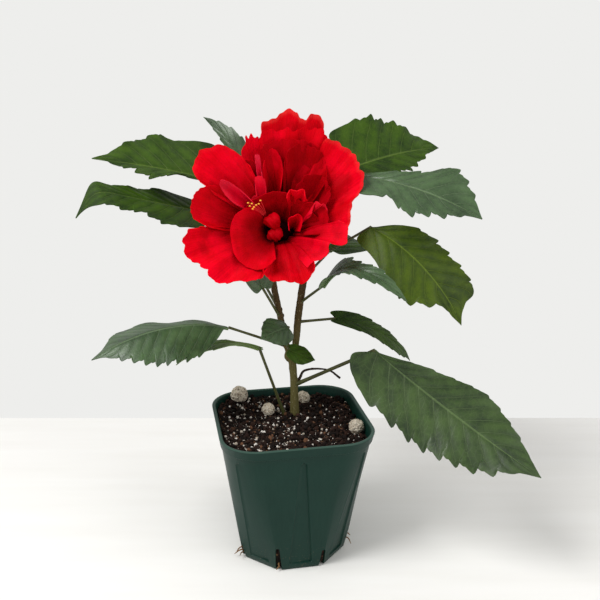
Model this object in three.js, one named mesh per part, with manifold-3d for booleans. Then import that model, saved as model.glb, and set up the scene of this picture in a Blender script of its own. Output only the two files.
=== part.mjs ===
// A young double hibiscus in bloom, with its square slit pot.
// Millimetres, +Z up. The origin is the centre of the pot's flat underside, and the
// plant is seen from the side of -Y. Every leaf is one solid with its own stalk.
import * as THREE from 'three';
import { mergeVertices } from 'three/addons/utils/BufferGeometryUtils.js';
import Module from 'manifold-3d';

const wasm = await Module();
wasm.setup();

// Driving dimensions
const POT_HEIGHT = 86;
const POT_RIM_SIDE = 90;
const POT_RIM_CORNER = 21;
const POT_FOOT_FLATS = 64.5;
const POT_TURN = THREE.MathUtils.degToRad(10.8);
const WALL = 1.4;
const FLOOR = 1.6;
const COLLAR_HEIGHT = 6;
const COLLAR_PROUD = 0.9;
const SLIT_WIDTH = 4.5;
const SLIT_HEIGHT = 12;
const SLIT_REACH = 31;
const PLEAT_DEPTH = 0.7;
const PLEAT_FOOT = 4;
const PLEAT_TOP = 76;
const PLEAT_HALF_WIDTH = 6.7;
const CORNER_STEPS = 5;
const CLEAR = 0.3;
const SOIL_LEVEL = 80.2;
const SOIL_FALL_X = -0.04;
const SOIL_RISE_Y = 0.02;
const TRUNK_RADIUS = 2.6;
const TRUNK_FLARE = 1.25;
const STALK_SIDES = 6;
const STALK_STEPS = 5;
const STALK_SUNK = 7;
const LEAF_THICKNESS = 1.1;
const SMALL_LEAF_THICKNESS = 0.7;
const PETAL_THICKNESS = 0.9;
const TOOTH_DEPTH = 0.16;
const WIDTH_ROOTS = [0, 0.04, 0.12, 0.25, 0.4, 0.55, 0.7, 0.82, 0.92, 1].map(Math.sqrt);
const HEART = [-5.5, 1.5, 199];
const HEART_RADIUS = 7.5;
const CALYX_RADIUS = 7;

// The bloom looks this way: towards the viewer, up and a little to the left.
const BLOOM_AXIS = new THREE.Vector3(-0.10, -0.82, 0.55).normalize();
const UP = new THREE.Vector3(0, 0, 1);

const LOOKS = {
  pot: { color: 0x23403a, roughness: 0.45 },
  soil: { color: 0x2b1d16, roughness: 0.95 },
  pellet: { color: 0xc9b9a0, roughness: 0.9 },
  bark: { color: 0x54432c, roughness: 0.8 },
  twig: { color: 0x3a2c22, roughness: 0.8 },
  leaf: { color: 0x3c5a28, roughness: 0.5 },
  calyx: { color: 0x4f6b2d, roughness: 0.6 },
  petal: { color: 0xd80a20, roughness: 0.6 },
};

const plant = new THREE.Group();
plant.name = 'potted_hibiscus';

const vec = (p) => (p.isVector3 ? p.clone() : new THREE.Vector3(...p));

// Booleans

function toSolid(geometry) {
  const bare = geometry.clone();
  bare.deleteAttribute('normal');
  bare.deleteAttribute('uv');
  const merged = mergeVertices(bare, 1e-4);
  return new wasm.Manifold(new wasm.Mesh({
    numProp: 3,
    vertProperties: new Float32Array(merged.attributes.position.array),
    triVerts: new Uint32Array(merged.index.array),
  }));
}

function toGeometry(solid) {
  const mesh = solid.getMesh();
  const geometry = new THREE.BufferGeometry();
  geometry.setAttribute('position', new THREE.BufferAttribute(mesh.vertProperties, 3));
  geometry.setIndex(new THREE.BufferAttribute(mesh.triVerts, 1));
  geometry.computeVertexNormals();
  return geometry;
}

// The largest closed body of a solid: scraps are dropped and sealed hollows are filled.
function mainBody(solid) {
  const bodies = solid.decompose();
  return bodies.reduce((best, body) => (body.volume() > best.volume() ? body : best));
}

function join(solids) {
  return mainBody(solids.reduce((sum, solid) => sum.add(solid)));
}

function addNode(name, look, solid) {
  const material = new THREE.MeshStandardMaterial({ ...LOOKS[look], metalness: 0 });
  const mesh = new THREE.Mesh(toGeometry(solid), material);
  mesh.name = name;
  plant.add(mesh);
}

// Closed shapes

// A skin through rings of equal length, counterclockwise seen from their far end, with flat ends.
function loft(rings) {
  const count = rings[0].length;
  const positions = [];
  const index = [];
  for (const ring of rings) {
    for (const point of ring) positions.push(point.x, point.y, point.z);
  }
  const middleOf = (ring) => ring
    .reduce((sum, point) => sum.add(point), new THREE.Vector3())
    .divideScalar(count);
  const first = middleOf(rings[0]);
  const last = middleOf(rings[rings.length - 1]);
  const foot = rings.length * count;
  const top = foot + 1;
  positions.push(first.x, first.y, first.z, last.x, last.y, last.z);
  for (let i = 0; i < rings.length - 1; i += 1) {
    for (let j = 0; j < count; j += 1) {
      const a = i * count + j;
      const b = i * count + ((j + 1) % count);
      index.push(a, b, b + count, a, b + count, a + count);
    }
  }
  const end = (rings.length - 1) * count;
  for (let j = 0; j < count; j += 1) {
    const next = (j + 1) % count;
    index.push(foot, next, j, top, end + j, end + next);
  }
  const geometry = new THREE.BufferGeometry();
  geometry.setAttribute('position', new THREE.Float32BufferAttribute(positions, 3));
  geometry.setIndex(index);
  return geometry;
}

// A tapering limb along a smooth route, with radii spread evenly from foot to tip.
function limb(route, radii, { sides = 10, steps = 8, grow = 0 } = {}) {
  const curve = new THREE.CatmullRomCurve3(route.map(vec), false, 'centripetal');
  const frames = curve.computeFrenetFrames(steps, false);
  const rings = [];
  for (let i = 0; i <= steps; i += 1) {
    const place = (i / steps) * (radii.length - 1);
    const low = Math.min(Math.floor(place), radii.length - 2);
    const radius = THREE.MathUtils.lerp(radii[low], radii[low + 1], place - low) + grow;
    const centre = curve.getPointAt(i / steps);
    const ring = [];
    for (let j = 0; j < sides; j += 1) {
      const angle = (2 * Math.PI * j) / sides;
      ring.push(centre.clone()
        .addScaledVector(frames.normals[i], radius * Math.cos(angle))
        .addScaledVector(frames.binormals[i], radius * Math.sin(angle)));
    }
    rings.push(ring);
  }
  return toSolid(loft(rings));
}

// A thin closed sheet of even thickness over a grid of points.
function sheet(grid, thickness) {
  const rows = grid.length;
  const columns = grid[0].length;
  const at = (i, j) => grid[THREE.MathUtils.clamp(i, 0, rows - 1)][THREE.MathUtils.clamp(j, 0, columns - 1)];
  const normal = (i, j) => at(i + 1, j).clone().sub(at(i - 1, j))
    .cross(at(i, j + 1).clone().sub(at(i, j - 1)))
    .normalize();
  const rings = [];
  for (let i = 0; i < rows; i += 1) {
    const over = [];
    const under = [];
    for (let j = 0; j < columns; j += 1) {
      const offset = normal(i, j).multiplyScalar(thickness / 2);
      over.push(at(i, j).clone().add(offset));
      under.push(at(i, j).clone().sub(offset));
    }
    rings.push([...over.reverse(), ...under]);
  }
  return toSolid(loft(rings));
}

// A frame for a blade or petal that runs from a foot to a tip along an arched midrib.
function midribFrame({ foot, tip, sag = 0.1, bend = 0, nod = 0, roll = 0 }, facing) {
  const start = vec(foot);
  const end = vec(tip);
  const chord = end.clone().sub(start);
  const length = chord.length();
  const along = chord.clone().normalize();
  const raised = facing.clone().addScaledVector(along, -facing.dot(along)).normalize();
  const across = along.clone().cross(raised);
  const turn = THREE.MathUtils.degToRad(roll);
  const face = raised.multiplyScalar(Math.cos(turn)).addScaledVector(across, Math.sin(turn));
  const side = along.clone().cross(face);
  const middle = start.clone().add(end).multiplyScalar(0.5)
    .addScaledVector(face, 2 * sag * length)
    .addScaledVector(side, 2 * bend * length);
  const curve = new THREE.QuadraticBezierCurve3(start, middle, end);
  const pointAt = (t) => curve.getPoint(t).addScaledVector(face, -nod * length * t ** 12);
  const frameAt = (t) => {
    const tangent = pointAt(t + 0.01).sub(pointAt(t - 0.01)).normalize();
    const normal = face.clone().addScaledVector(tangent, -face.dot(tangent)).normalize();
    return { point: pointAt(t), tangent, normal, side: tangent.clone().cross(normal) };
  };
  return { length, frameAt };
}

// Leaves

function tooth(place) {
  const part = place - Math.floor(place);
  return part < 0.8 ? part / 0.8 : (1 - part) / 0.2;
}

// Rows of a blade: the rounded base, then the tip and the notch of every tooth.
function bladeRows(teeth) {
  const rows = [0.02, 0.06, 0.13];
  for (let k = 1; k < teeth; k += 1) rows.push((k + 0.8) / teeth, (k + 1) / teeth);
  return rows;
}

// How far one half of a leaf reaches: a smooth line through its widths at the set shares.
function halfWidth(widths, s) {
  const heights = [0, ...widths, 0];
  const last = heights.length - 1;
  const slope = (k) => {
    const low = Math.max(k - 1, 0);
    const high = Math.min(k + 1, last);
    return (heights[high] - heights[low]) / (WIDTH_ROOTS[high] - WIDTH_ROOTS[low]);
  };
  const root = Math.sqrt(s);
  const before = Math.min(WIDTH_ROOTS.findLastIndex((value) => value <= root), last - 1);
  const after = before + 1;
  const gap = WIDTH_ROOTS[after] - WIDTH_ROOTS[before];
  const t = (root - WIDTH_ROOTS[before]) / gap;
  const start = (1 + 2 * t) * (1 - t) ** 2 * heights[before] + t * (1 - t) ** 2 * gap * slope(before);
  const end = t * t * (3 - 2 * t) * heights[after] - t * t * (1 - t) * gap * slope(after);
  return Math.max(start + end, 0);
}

// Half widths of a plain oval leaf.
const oval = (half) => [0.5, 0.8, 0.98, 1, 0.88, 0.66, 0.42, 0.18].map((share) => share * half);

// An option of a leaf for one half: a number, or a pair for the left and the right half.
const bySide = (value, v) => (Array.isArray(value) ? value[v < 0 ? 0 : 1] : value);

const leafHalf = ({ left, right }) => Math.max(...left, ...right);

function bladeGrid(leaf) {
  const { left, right, teeth = 8, lobe = 0.09, fold = 0, cut = 1 } = leaf;
  const { length, frameAt } = midribFrame(leaf, UP);
  const half = leafHalf(leaf);
  return bladeRows(teeth).map((s) => [-1, 0, 1].map((v) => {
    const full = halfWidth(v < 0 ? left : right, s) / half;
    const foldAngle = THREE.MathUtils.degToRad(bySide(fold, v));
    const { clamp } = THREE.MathUtils;
    const toothed = clamp((s - 0.12) / 0.2, 0, 1) * clamp((0.93 - s) / 0.1, 0, 1) * clamp(full / 0.4, 0, 1);
    const jag = toothed * bySide(cut, v) * (tooth(s * teeth) - 0.5);
    const out = full + TOOTH_DEPTH * jag * (1 - 0.55 * s);
    const reach = v === 0 ? 0 : Math.max(out * half, 0.4);
    const back = s - bySide(lobe, v) * (s / 0.05) * Math.exp(1 - s / 0.05) + 0.022 * jag;
    const sweep = 0.33 * (half / length) * out * Math.min(s / 0.3, 1) * Math.sqrt(1 - s);
    const place = v === 0 ? s : back + sweep;
    const inside = clamp(place, 0, 1);
    const { point, tangent, normal, side } = frameAt(inside);
    return point
      .addScaledVector(tangent, (place - inside) * length)
      .addScaledVector(side, v * reach * Math.cos(foldAngle))
      .addScaledVector(normal, reach * Math.sin(foldAngle));
  }));
}

function leafSolid(leaf, limbs) {
  const thickness = leafHalf(leaf) > 12 ? LEAF_THICKNESS : SMALL_LEAF_THICKNESS;
  const blade = sheet(bladeGrid(leaf), thickness);
  const { length, frameAt } = midribFrame(leaf, UP);
  const stalkRadius = leaf.stalkRadius ?? 0.8;
  const sunk = frameAt(STALK_SUNK / length).point;
  const halfway = vec(leaf.stalk).lerp(vec(leaf.foot), 0.5);
  const stalk = limb([leaf.stalk, halfway, leaf.foot, sunk],
    [stalkRadius * 1.2, stalkRadius, stalkRadius, stalkRadius * 0.8],
    { sides: STALK_SIDES, steps: STALK_STEPS });
  return mainBody(limbs.reduce((solid, cutter) => solid.subtract(cutter), blade.add(stalk)));
}

// Petals

function petalGrid(petal, rows = 5, columns = 4) {
  const {
    width, cup = 0.25, ruffle = 2, waves = 2, phase = 0, rounding = 0.3, notch = 0, lobes = 3,
  } = petal;
  const { frameAt } = midribFrame(petal, BLOOM_AXIS);
  const half = width / 2;
  const grid = [];
  for (let i = 0; i <= rows; i += 1) {
    const s = i / rows;
    const row = [];
    for (let j = 0; j <= columns; j += 1) {
      const v = (2 * j) / columns - 1;
      const fill = 0.16 + 0.84 * Math.sin(Math.min(s / 0.8, 1) * (Math.PI / 2)) ** 1.1;
      const margin = 1 - rounding * Math.abs(v) ** 2.4;
      const rim = 1 + notch * Math.cos(v * lobes * Math.PI + phase) * s ** 4;
      const across = v * half * fill * (1 - 0.1 * Math.max((s - 0.8) / 0.2, 0) * v * v);
      const rise = (cup * across * across) / half + ruffle * s ** 2.5 * Math.sin(v * waves * Math.PI + phase);
      const { point, normal, side } = frameAt(s * margin * rim);
      row.push(point.addScaledVector(side, across).addScaledVector(normal, rise));
    }
    grid.push(row);
  }
  return grid;
}

// Pot and soil

// A ring of the pot: straight sides of a given half length, and corners that bulge from 0 to 1.
function potRing(half, edge, bulge) {
  const corner = half - edge;
  const ring = [];
  for (let quarter = 0; quarter < 4; quarter += 1) {
    for (let k = 0; k <= CORNER_STEPS; k += 1) {
      const angle = (k / CORNER_STEPS) * (Math.PI / 2);
      const round = new THREE.Vector2(edge + corner * Math.cos(angle), edge + corner * Math.sin(angle));
      const straight = new THREE.Vector2(half, edge).lerp(new THREE.Vector2(edge, half), k / CORNER_STEPS);
      ring.push(straight.lerp(round, bulge).rotateAround(new THREE.Vector2(), quarter * (Math.PI / 2) + POT_TURN));
    }
  }
  return ring;
}

// The pot's outline at a height, ruled from a regular octagon at the foot to a rounded square at the rim.
function potOutline(height, outward = 0) {
  const footHalf = POT_FOOT_FLATS / 2 + outward;
  const foot = potRing(footHalf, footHalf * Math.tan(Math.PI / 8), 0);
  const rim = potRing(POT_RIM_SIDE / 2 + outward, POT_RIM_SIDE / 2 - POT_RIM_CORNER, 1);
  return foot.map((point, k) => {
    const { x, y } = point.lerp(rim[k], height / POT_HEIGHT);
    return new THREE.Vector3(x, y, height);
  });
}

// A triangular recess on one of the pot's eight faces, widening towards the foot.
function pleatCutter(k) {
  const angle = k * (Math.PI / 4) + POT_TURN;
  const rimDistance = k % 2 === 0
    ? POT_RIM_SIDE / 2
    : (POT_RIM_SIDE / 2) * Math.SQRT2 - POT_RIM_CORNER * (Math.SQRT2 - 1);
  const lean = Math.atan2(rimDistance - POT_FOOT_FLATS / 2, POT_HEIGHT);
  const outwards = new THREE.Vector3(Math.cos(angle), Math.sin(angle), 0);
  const tangent = new THREE.Vector3(-Math.sin(angle), Math.cos(angle), 0);
  const rising = outwards.clone().multiplyScalar(Math.sin(lean)).addScaledVector(UP, Math.cos(lean));
  const facing = tangent.clone().cross(rising);
  const triangle = new THREE.Shape([
    new THREE.Vector2(-PLEAT_HALF_WIDTH, PLEAT_FOOT),
    new THREE.Vector2(PLEAT_HALF_WIDTH, PLEAT_FOOT),
    new THREE.Vector2(0, PLEAT_TOP),
  ]);
  const wedge = new THREE.ExtrudeGeometry(triangle, { depth: 5, bevelEnabled: false });
  const start = outwards.multiplyScalar(POT_FOOT_FLATS / 2).addScaledVector(facing, -PLEAT_DEPTH);
  wedge.applyMatrix4(new THREE.Matrix4().makeBasis(tangent, rising, facing).setPosition(start));
  return toSolid(wedge);
}

function slitCutter(k) {
  const box = new THREE.BoxGeometry(10, SLIT_WIDTH, SLIT_HEIGHT + 1);
  box.translate(SLIT_REACH + 5, 0, (SLIT_HEIGHT - 1) / 2);
  box.rotateZ((k + 0.5) * (Math.PI / 4) + POT_TURN);
  return toSolid(box);
}

function potSolid() {
  const collar = POT_HEIGHT - COLLAR_HEIGHT;
  const outer = toSolid(loft([
    potOutline(0), potOutline(collar), potOutline(collar, COLLAR_PROUD), potOutline(POT_HEIGHT, COLLAR_PROUD),
  ]));
  const inner = toSolid(loft([potOutline(FLOOR, -WALL), potOutline(POT_HEIGHT + 1, -WALL)]));
  let pot = outer.subtract(inner);
  for (let k = 0; k < 8; k += 1) pot = pot.subtract(pleatCutter(k)).subtract(slitCutter(k));
  return mainBody(pot);
}

const soilTop = (x, y) => SOIL_LEVEL + SOIL_FALL_X * x + SOIL_RISE_Y * y;

// A block from the soil's surface, raised by lift, to a level height.
function soilBlock(lift, level) {
  const corners = [[-60, -60], [60, -60], [60, 60], [-60, 60]];
  const surface = corners.map(([x, y]) => new THREE.Vector3(x, y, soilTop(x, y) + lift));
  const flat = corners.map(([x, y]) => new THREE.Vector3(x, y, level));
  return toSolid(loft(level > SOIL_LEVEL ? [surface, flat] : [flat, surface]));
}

function soilSolid() {
  const gap = -(WALL + CLEAR);
  const filling = toSolid(loft([potOutline(FLOOR + CLEAR, gap), potOutline(POT_HEIGHT, gap)]));
  return filling.subtract(soilBlock(0, 2 * POT_HEIGHT));
}

addNode('pot', 'pot', potSolid());
addNode('soil', 'soil', soilSolid());
const ground = soilBlock(CLEAR, 0);

// Fertiliser balls half sunk in the soil: place, radius, and how far the centre stands over the soil.
const PELLETS = [
  { at: [-33.6, 30], radius: 5.8, stand: 4.8 },
  { at: [-14.3, 13], radius: 4.4, stand: 3.2 },
  { at: [7.8, 33], radius: 4.5, stand: 3.1 },
  { at: [39.8, -8], radius: 4.8, stand: 4.0 },
];
PELLETS.forEach(({ at: [x, y], radius, stand }, k) => {
  const ball = new THREE.SphereGeometry(radius, 12, 8);
  ball.rotateX(Math.PI / 2);
  ball.translate(x, y, soilTop(x, y) + stand);
  addNode(`pellet_${k + 1}`, 'pellet', mainBody(toSolid(ball).subtract(ground)));
});

// Trunk and boughs: route and radii from foot to tip.
const TRUNK = {
  route: [[2.4, 14, 76], [2.4, 14, 84], [2, 14.5, 103], [0.2, 15, 123.4]],
  radii: [TRUNK_RADIUS * TRUNK_FLARE, TRUNK_RADIUS, TRUNK_RADIUS * 0.92, TRUNK_RADIUS * 0.96],
};
const LEFT_BOUGH = {
  route: [[-1.9, 14.8, 124.2], [-6.3, 13, 146.3], [-10.3, 11, 168.8], [-12, 13, 192], [-12.5, 14, 214], [-11.5, 15, 224]],
  radii: [2, 1.9, 1.9, 1.7, 1.4, 1],
};
const RIGHT_BOUGH = {
  route: [[2.6, 15.2, 124], [5.2, 14, 149.2], [8.6, 13, 172], [15.1, 12, 213.6], [22, 14, 232]],
  radii: [2.2, 2.2, 2, 1.5, 1],
};
const limbOf = ({ route, radii }, grow = 0) => limb(route, radii, { grow });

const forkHead = new THREE.CylinderGeometry(2.7, 2.3, 8, 12)
  .rotateX(Math.PI / 2)
  .scale(1.65, 1, 1)
  .translate(0.3, 15, 119.4);
addNode('trunk', 'bark', join([limbOf(TRUNK).subtract(ground), toSolid(forkHead)]));
addNode('bough_left', 'bark', limbOf(LEFT_BOUGH));
addNode('bough_right', 'bark', limbOf(RIGHT_BOUGH));
const limbRoom = [TRUNK, LEFT_BOUGH, RIGHT_BOUGH].map((one) => limbOf(one, CLEAR));

const TWIG = [[5.2, 16, 103.5], [8.3, 18, 108.1], [23.5, 22, 107.2], [31.2, 24, 101]];
const twig = limb(TWIG, [0.9, 0.7, 0.6, 0.7], { sides: STALK_SIDES });
addNode('bare_twig', 'twig', mainBody(twig.subtract(limbRoom[0])));

// Leaves: where the stalk leaves the stem, the foot and tip of the blade, and how far each half
// reaches at the set shares of its length.
const LEAVES = [
  { name: 'leaf_upper_left', stalk: [-12.5, 14, 214], foot: [-44, 12, 228], tip: [-110, -2, 242],
    left: [2, 2, 5, 11, 14, 7, 3, 1.5], right: [31, 35, 30, 31, 25, 17, 10, 4],
    sag: 0.02, roll: -22, fold: 8, cut: [1.6, 0.35] },
  { name: 'leaf_middle_left', stalk: [-12.3, 13.5, 203], foot: [-53, 8, 211], tip: [-104, -26, 231],
    left: [10, 18, 21, 18, 15, 10, 11, 6], right: [5, 9, 11, 11, 9, 7, 5, 3],
    sag: 0, nod: 0.36, roll: -28, cut: [1, 0.3] },
  { name: 'leaf_top_left', stalk: [-11.5, 15, 221], foot: [-24, 22, 222], tip: [-52, 40, 262],
    left: [4, 5, 5, 5, 4, 3, 2, 1], right: [5, 7, 8, 8, 7, 5, 3, 1.5],
    teeth: 6, bend: 0.12, roll: -70, fold: -10 },
  { name: 'leaf_top_right', stalk: [20, 13.5, 227], foot: [36, 13, 235], tip: [91, 48, 243],
    left: [25, 30, 32, 29, 25, 18, 11, 5], right: [6, 10, 13, 13, 10, 7, 3, 1.5],
    sag: 0.06, roll: 45, fold: -4 },
  { name: 'leaf_upper_right', stalk: [18, 13, 221], foot: [41, 3, 231.5], tip: [104, -25, 212],
    left: [2.5, 5, 9, 16, 24, 21, 13, 6], right: [12, 14, 12, 19, 16, 12, 6, 2.5],
    sag: 0.07, roll: 33, cut: [0.9, 1.2] },
  { name: 'leaf_middle_right', stalk: [9.5, 12.8, 178], foot: [46, -5, 204], tip: [96, -25, 152],
    left: [3, 9, 16, 18, 17, 18, 17, 4], right: [10, 13, 18, 20, 20, 12, 4, 2],
    bend: -0.05, sag: 0.1, roll: 50, fold: -6, lobe: [0, 0.09] },
  { name: 'leaf_inner_right', stalk: [6, 13.8, 154], foot: [19, -2, 168.5], tip: [63.5, -38, 169.5],
    left: [10, 13, 11, 6, 5, 5, 4, 2], right: [4, 6, 7, 7, 7, 6, 4, 2],
    sag: 0.3, roll: 24, fold: 10, lobe: [0.28, 0.03] },
  { name: 'leaf_lower_right', stalk: [4.3, 14.4, 141.5], foot: [27, 7, 146], tip: [75.5, 26, 112],
    left: [5, 8, 8, 7, 6, 5, 4, 3], right: [3, 5, 6, 7.5, 8, 8, 5, 2],
    sag: 0.12, roll: 34 },
  { name: 'leaf_front_right', stalk: [2, 14.5, 100], foot: [50, -5, 130], tip: [137, -60, 76],
    left: [1.5, 6, 14, 20, 22, 17, 11, 5], right: [12, 24, 27, 27, 24, 19, 12, 4],
    sag: -0.045, roll: 42, fold: -6, teeth: 9, cut: [0.3, 1.1], lobe: [0, 0.12], stalkRadius: 1.1 },
  { name: 'leaf_lower_left', stalk: [-2.3, 14.7, 125.6], foot: [-37, 5, 141], tip: [-111, -30, 133],
    left: [2, 13, 23, 25, 22, 17, 9, 3], right: [8, 12, 15, 19, 26, 28, 18, 7],
    sag: 0.12, roll: -13, fold: -21, cut: [1, 0.3], lobe: [0, 0.05] },
  { name: 'leaf_basal', stalk: [-3.5, 15, 78], foot: [-19, 8, 127], tip: [-69, 2, 118],
    left: [1.5, 3, 6, 9, 9, 8, 5, 2], right: [1.5, 2, 3, 5, 6, 6, 4, 2],
    sag: 0.16, stalkRadius: 0.9 },
  { name: 'leaf_fork_front', stalk: [-4.9, 13.5, 139.3], foot: [-1, 5, 141], tip: [-17, -14, 140],
    left: oval(10), right: oval(10), teeth: 5, roll: -40, fold: -10, cut: 0.4 },
  { name: 'leaf_fork_small', stalk: [-3.2, 14.2, 130], foot: [-1, 5, 127], tip: [15, 5, 120],
    left: oval(6.5), right: oval(6.5), teeth: 3, sag: 0, roll: 40, fold: -10, cut: 0.4 },
  { name: 'leaf_under_bloom', stalk: [-5.9, 13.2, 144], foot: [-16, 2, 166], tip: [-31, 15, 195],
    left: oval(10), right: oval(10), teeth: 5, roll: -20, cut: 0.5 },
  { name: 'leaf_back_left', stalk: [-11.9, 12.8, 190], foot: [-22, 38, 205], tip: [-40, 100, 196],
    left: oval(23), right: oval(23), teeth: 6, sag: 0.12, fold: 8 },
  { name: 'leaf_back_right', stalk: [14, 12.2, 206], foot: [24, 40, 218], tip: [42, 104, 212],
    left: oval(25), right: oval(25), teeth: 6, sag: 0.12, roll: 5, fold: 8 },
  { name: 'leaf_back_top', stalk: [13, 12.3, 200], foot: [4, 46, 232], tip: [-6, 104, 232],
    left: oval(20), right: oval(20), teeth: 6, sag: 0.14, fold: 6 },
  { name: 'leaf_back_low_right', stalk: [8.4, 13, 170], foot: [25, 42, 180], tip: [56, 84, 168],
    left: oval(21), right: oval(21), teeth: 6, sag: 0.14, roll: 10, fold: 6 },
  { name: 'leaf_back_low_left', stalk: [-7, 12.8, 150], foot: [-24, 40, 172], tip: [-62, 82, 168],
    left: oval(21), right: oval(21), teeth: 6, sag: 0.14, roll: -8, fold: 6 },
];
for (const leaf of LEAVES) addNode(leaf.name, 'leaf', leafSolid(leaf, [...limbRoom, ground]));

// Petals: foot on the heart of the bloom, tip, width and the ripple of the margin.
const PETALS = [
  { foot: [-5, 5, 202], tip: [1, 14, 267], width: 42, cup: 0.15, ruffle: 2.4, waves: 2.6, phase: 0.6, notch: 0.02 },
  { foot: [-8, 6, 202], tip: [-23, 20, 255], width: 22, sag: 0.06, cup: 0.2, ruffle: 1.6, phase: 1 },
  { foot: [-1, 2, 201], tip: [37, -6, 237], width: 48, sag: 0.12, cup: 0.15, waves: 2.2, phase: 2, rounding: 0.26 },
  { foot: [-9, 1, 202], tip: [-50, -8, 242], width: 36, sag: 0.14, cup: -0.1, phase: 0.3, rounding: 0.26 },
  { foot: [-9, 0, 200], tip: [-54, -14, 216], width: 36, cup: 0.05, ruffle: 1.6, waves: 1.6, phase: 1.3, rounding: 0.24 },
  { foot: [-7, -3, 196], tip: [-53, -36, 192], width: 50, sag: 0.2, cup: -0.1, ruffle: 2.4, waves: 2.6, phase: 2.2,
    notch: 0.02, lobes: 4, rounding: 0.22 },
  { foot: [-4, -3, 195.5], tip: [-2, -38, 181], width: 38, sag: 0.24, cup: 0.1, ruffle: 1.6 },
  { foot: [-1, -2, 196], tip: [27, -32, 199], width: 36, sag: 0.2, cup: -0.1, phase: 1, notch: 0.02, rounding: 0.26 },
  { foot: [-5, 3, 204], tip: [-5, 2, 247], width: 28, sag: 0.12, cup: 0.3, ruffle: 2.2, phase: 0.9 },
  { foot: [-9, 1, 203], tip: [-20, 6, 251], width: 20, cup: 0.4, phase: 2.2 },
  { foot: [-2, 1, 202], tip: [20, -2, 247], width: 38, sag: 0.16, ruffle: 2.4, phase: 0.2 },
  { foot: [-1, -1, 200], tip: [23, -20, 219], width: 28, sag: 0.2, cup: 0.3, ruffle: 2.4, phase: 1.2 },
  { foot: [-9, -1, 200], tip: [-35, -18, 229], width: 24, sag: 0.16, cup: 0.3, ruffle: 1.8, phase: 0.4 },
  { foot: [-6, -3, 195], tip: [-22, -44, 193], width: 42, sag: 0.22, cup: -0.15, ruffle: 2.2, waves: 2.2, phase: 2.6 },
  { foot: [-3, -3, 195], tip: [12, -44, 194], width: 40, sag: 0.2, cup: -0.1, phase: 0.8 },
  { foot: [-8, -3, 198], tip: [-32, -28, 208], width: 26, sag: 0.2, cup: 0.2, ruffle: 1.8, phase: 0.8 },
  { foot: [-2, -4, 199], tip: [6, -22, 216], width: 14, sag: 0.14, cup: 0.6, ruffle: 1.6, phase: 2.6 },
  { foot: [-5, -3, 202], tip: [-3, -12, 232], width: 20, cup: 0.5, ruffle: 1.8, phase: 0.1 },
];
const ballAt = (centre, radius) => toSolid(
  new THREE.SphereGeometry(radius, 14, 10).translate(...vec(centre).toArray()),
);
const bloom = join([ballAt(HEART, HEART_RADIUS), ...PETALS.map((petal) => sheet(petalGrid(petal), PETAL_THICKNESS))]);
addNode('bloom', 'petal', bloom);

// The calyx cups the heart from behind and hangs on a stalk from the left bough.
const calyxCentre = vec(HEART).addScaledVector(BLOOM_AXIS, -5.5);
const stalkFoot = [-10.6, 10.6, 172];
const calyxStalk = limb([stalkFoot, [-8, 10.5, 183], calyxCentre], [1.4, 1.3, 2.2], { sides: 8 });
const calyx = ballAt(calyxCentre, CALYX_RADIUS).add(calyxStalk).subtract(ballAt(HEART, HEART_RADIUS + CLEAR));
addNode('bloom_stalk', 'calyx', mainBody(calyx.subtract(limbRoom[1])));

export default plant;
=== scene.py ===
# %% [markdown]
# This notebook dresses a young double hibiscus in its square slit pot. The plant is already
# there as packed solids: pot, soil, stems, nineteen leaves and one bloom, in metres, with the
# pot standing on the origin. The cells below make finer pieces in the same places. Leaves and
# petals follow the places and widths that the solids were made by, written in millimetres, so
# that each piece lands on the solid it stands for.

# %% Load the frame
import math
import bmesh
import bpy
import numpy as np
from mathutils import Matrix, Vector, noise


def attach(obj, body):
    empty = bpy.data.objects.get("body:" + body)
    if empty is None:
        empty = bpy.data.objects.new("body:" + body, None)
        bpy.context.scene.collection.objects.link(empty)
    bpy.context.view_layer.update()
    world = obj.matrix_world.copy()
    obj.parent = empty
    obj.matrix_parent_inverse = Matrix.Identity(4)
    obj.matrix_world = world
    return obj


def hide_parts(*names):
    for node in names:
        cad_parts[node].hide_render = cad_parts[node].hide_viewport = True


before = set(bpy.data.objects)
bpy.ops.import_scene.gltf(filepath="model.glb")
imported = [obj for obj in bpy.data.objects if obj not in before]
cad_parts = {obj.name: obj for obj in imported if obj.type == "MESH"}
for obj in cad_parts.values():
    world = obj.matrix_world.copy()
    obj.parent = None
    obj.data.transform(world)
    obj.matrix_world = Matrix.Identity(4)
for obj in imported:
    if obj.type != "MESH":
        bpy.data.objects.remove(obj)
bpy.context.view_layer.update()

MM = 0.001
print("solids in the frame:", len(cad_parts))

# %% [markdown]
# An operator works on whatever is selected, and a freshly loaded frame is selected all over.
# So the first helpers pick out single objects, apply a modifier and hand a finished piece to
# the frame. A ring of points that is extruded again and again is how the pot and the soil are
# built: the same thing is done by hand with E, and each new ring is then put in its place.

# %% Select, apply and finish
def only(*things):
    bpy.ops.object.select_all(action="DESELECT")
    for thing in things:
        thing.select_set(True)
    bpy.context.view_layer.objects.active = things[0]


def apply(piece, kind, **settings):
    only(piece)
    modifier = piece.modifiers.new(kind.lower(), kind)
    for name, value in settings.items():
        setattr(modifier, name, value)
    bpy.ops.object.modifier_apply(modifier=modifier.name)


def joined(things):
    only(*things)
    bpy.ops.object.join()
    return bpy.context.object


def outward(piece, merge=0.02 * MM):
    """Merges doubled points and turns every face outwards."""
    only(piece)
    bpy.ops.object.mode_set(mode="EDIT")
    bpy.ops.mesh.select_all(action="SELECT")
    bpy.ops.mesh.remove_doubles(threshold=merge)
    bpy.ops.mesh.dissolve_degenerate(threshold=merge / 4)
    bpy.ops.mesh.normals_make_consistent(inside=False)
    bpy.ops.object.mode_set(mode="OBJECT")


def smooth(piece, angle=60):
    only(piece)
    bpy.ops.object.shade_smooth_by_angle(angle=math.radians(angle))


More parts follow.
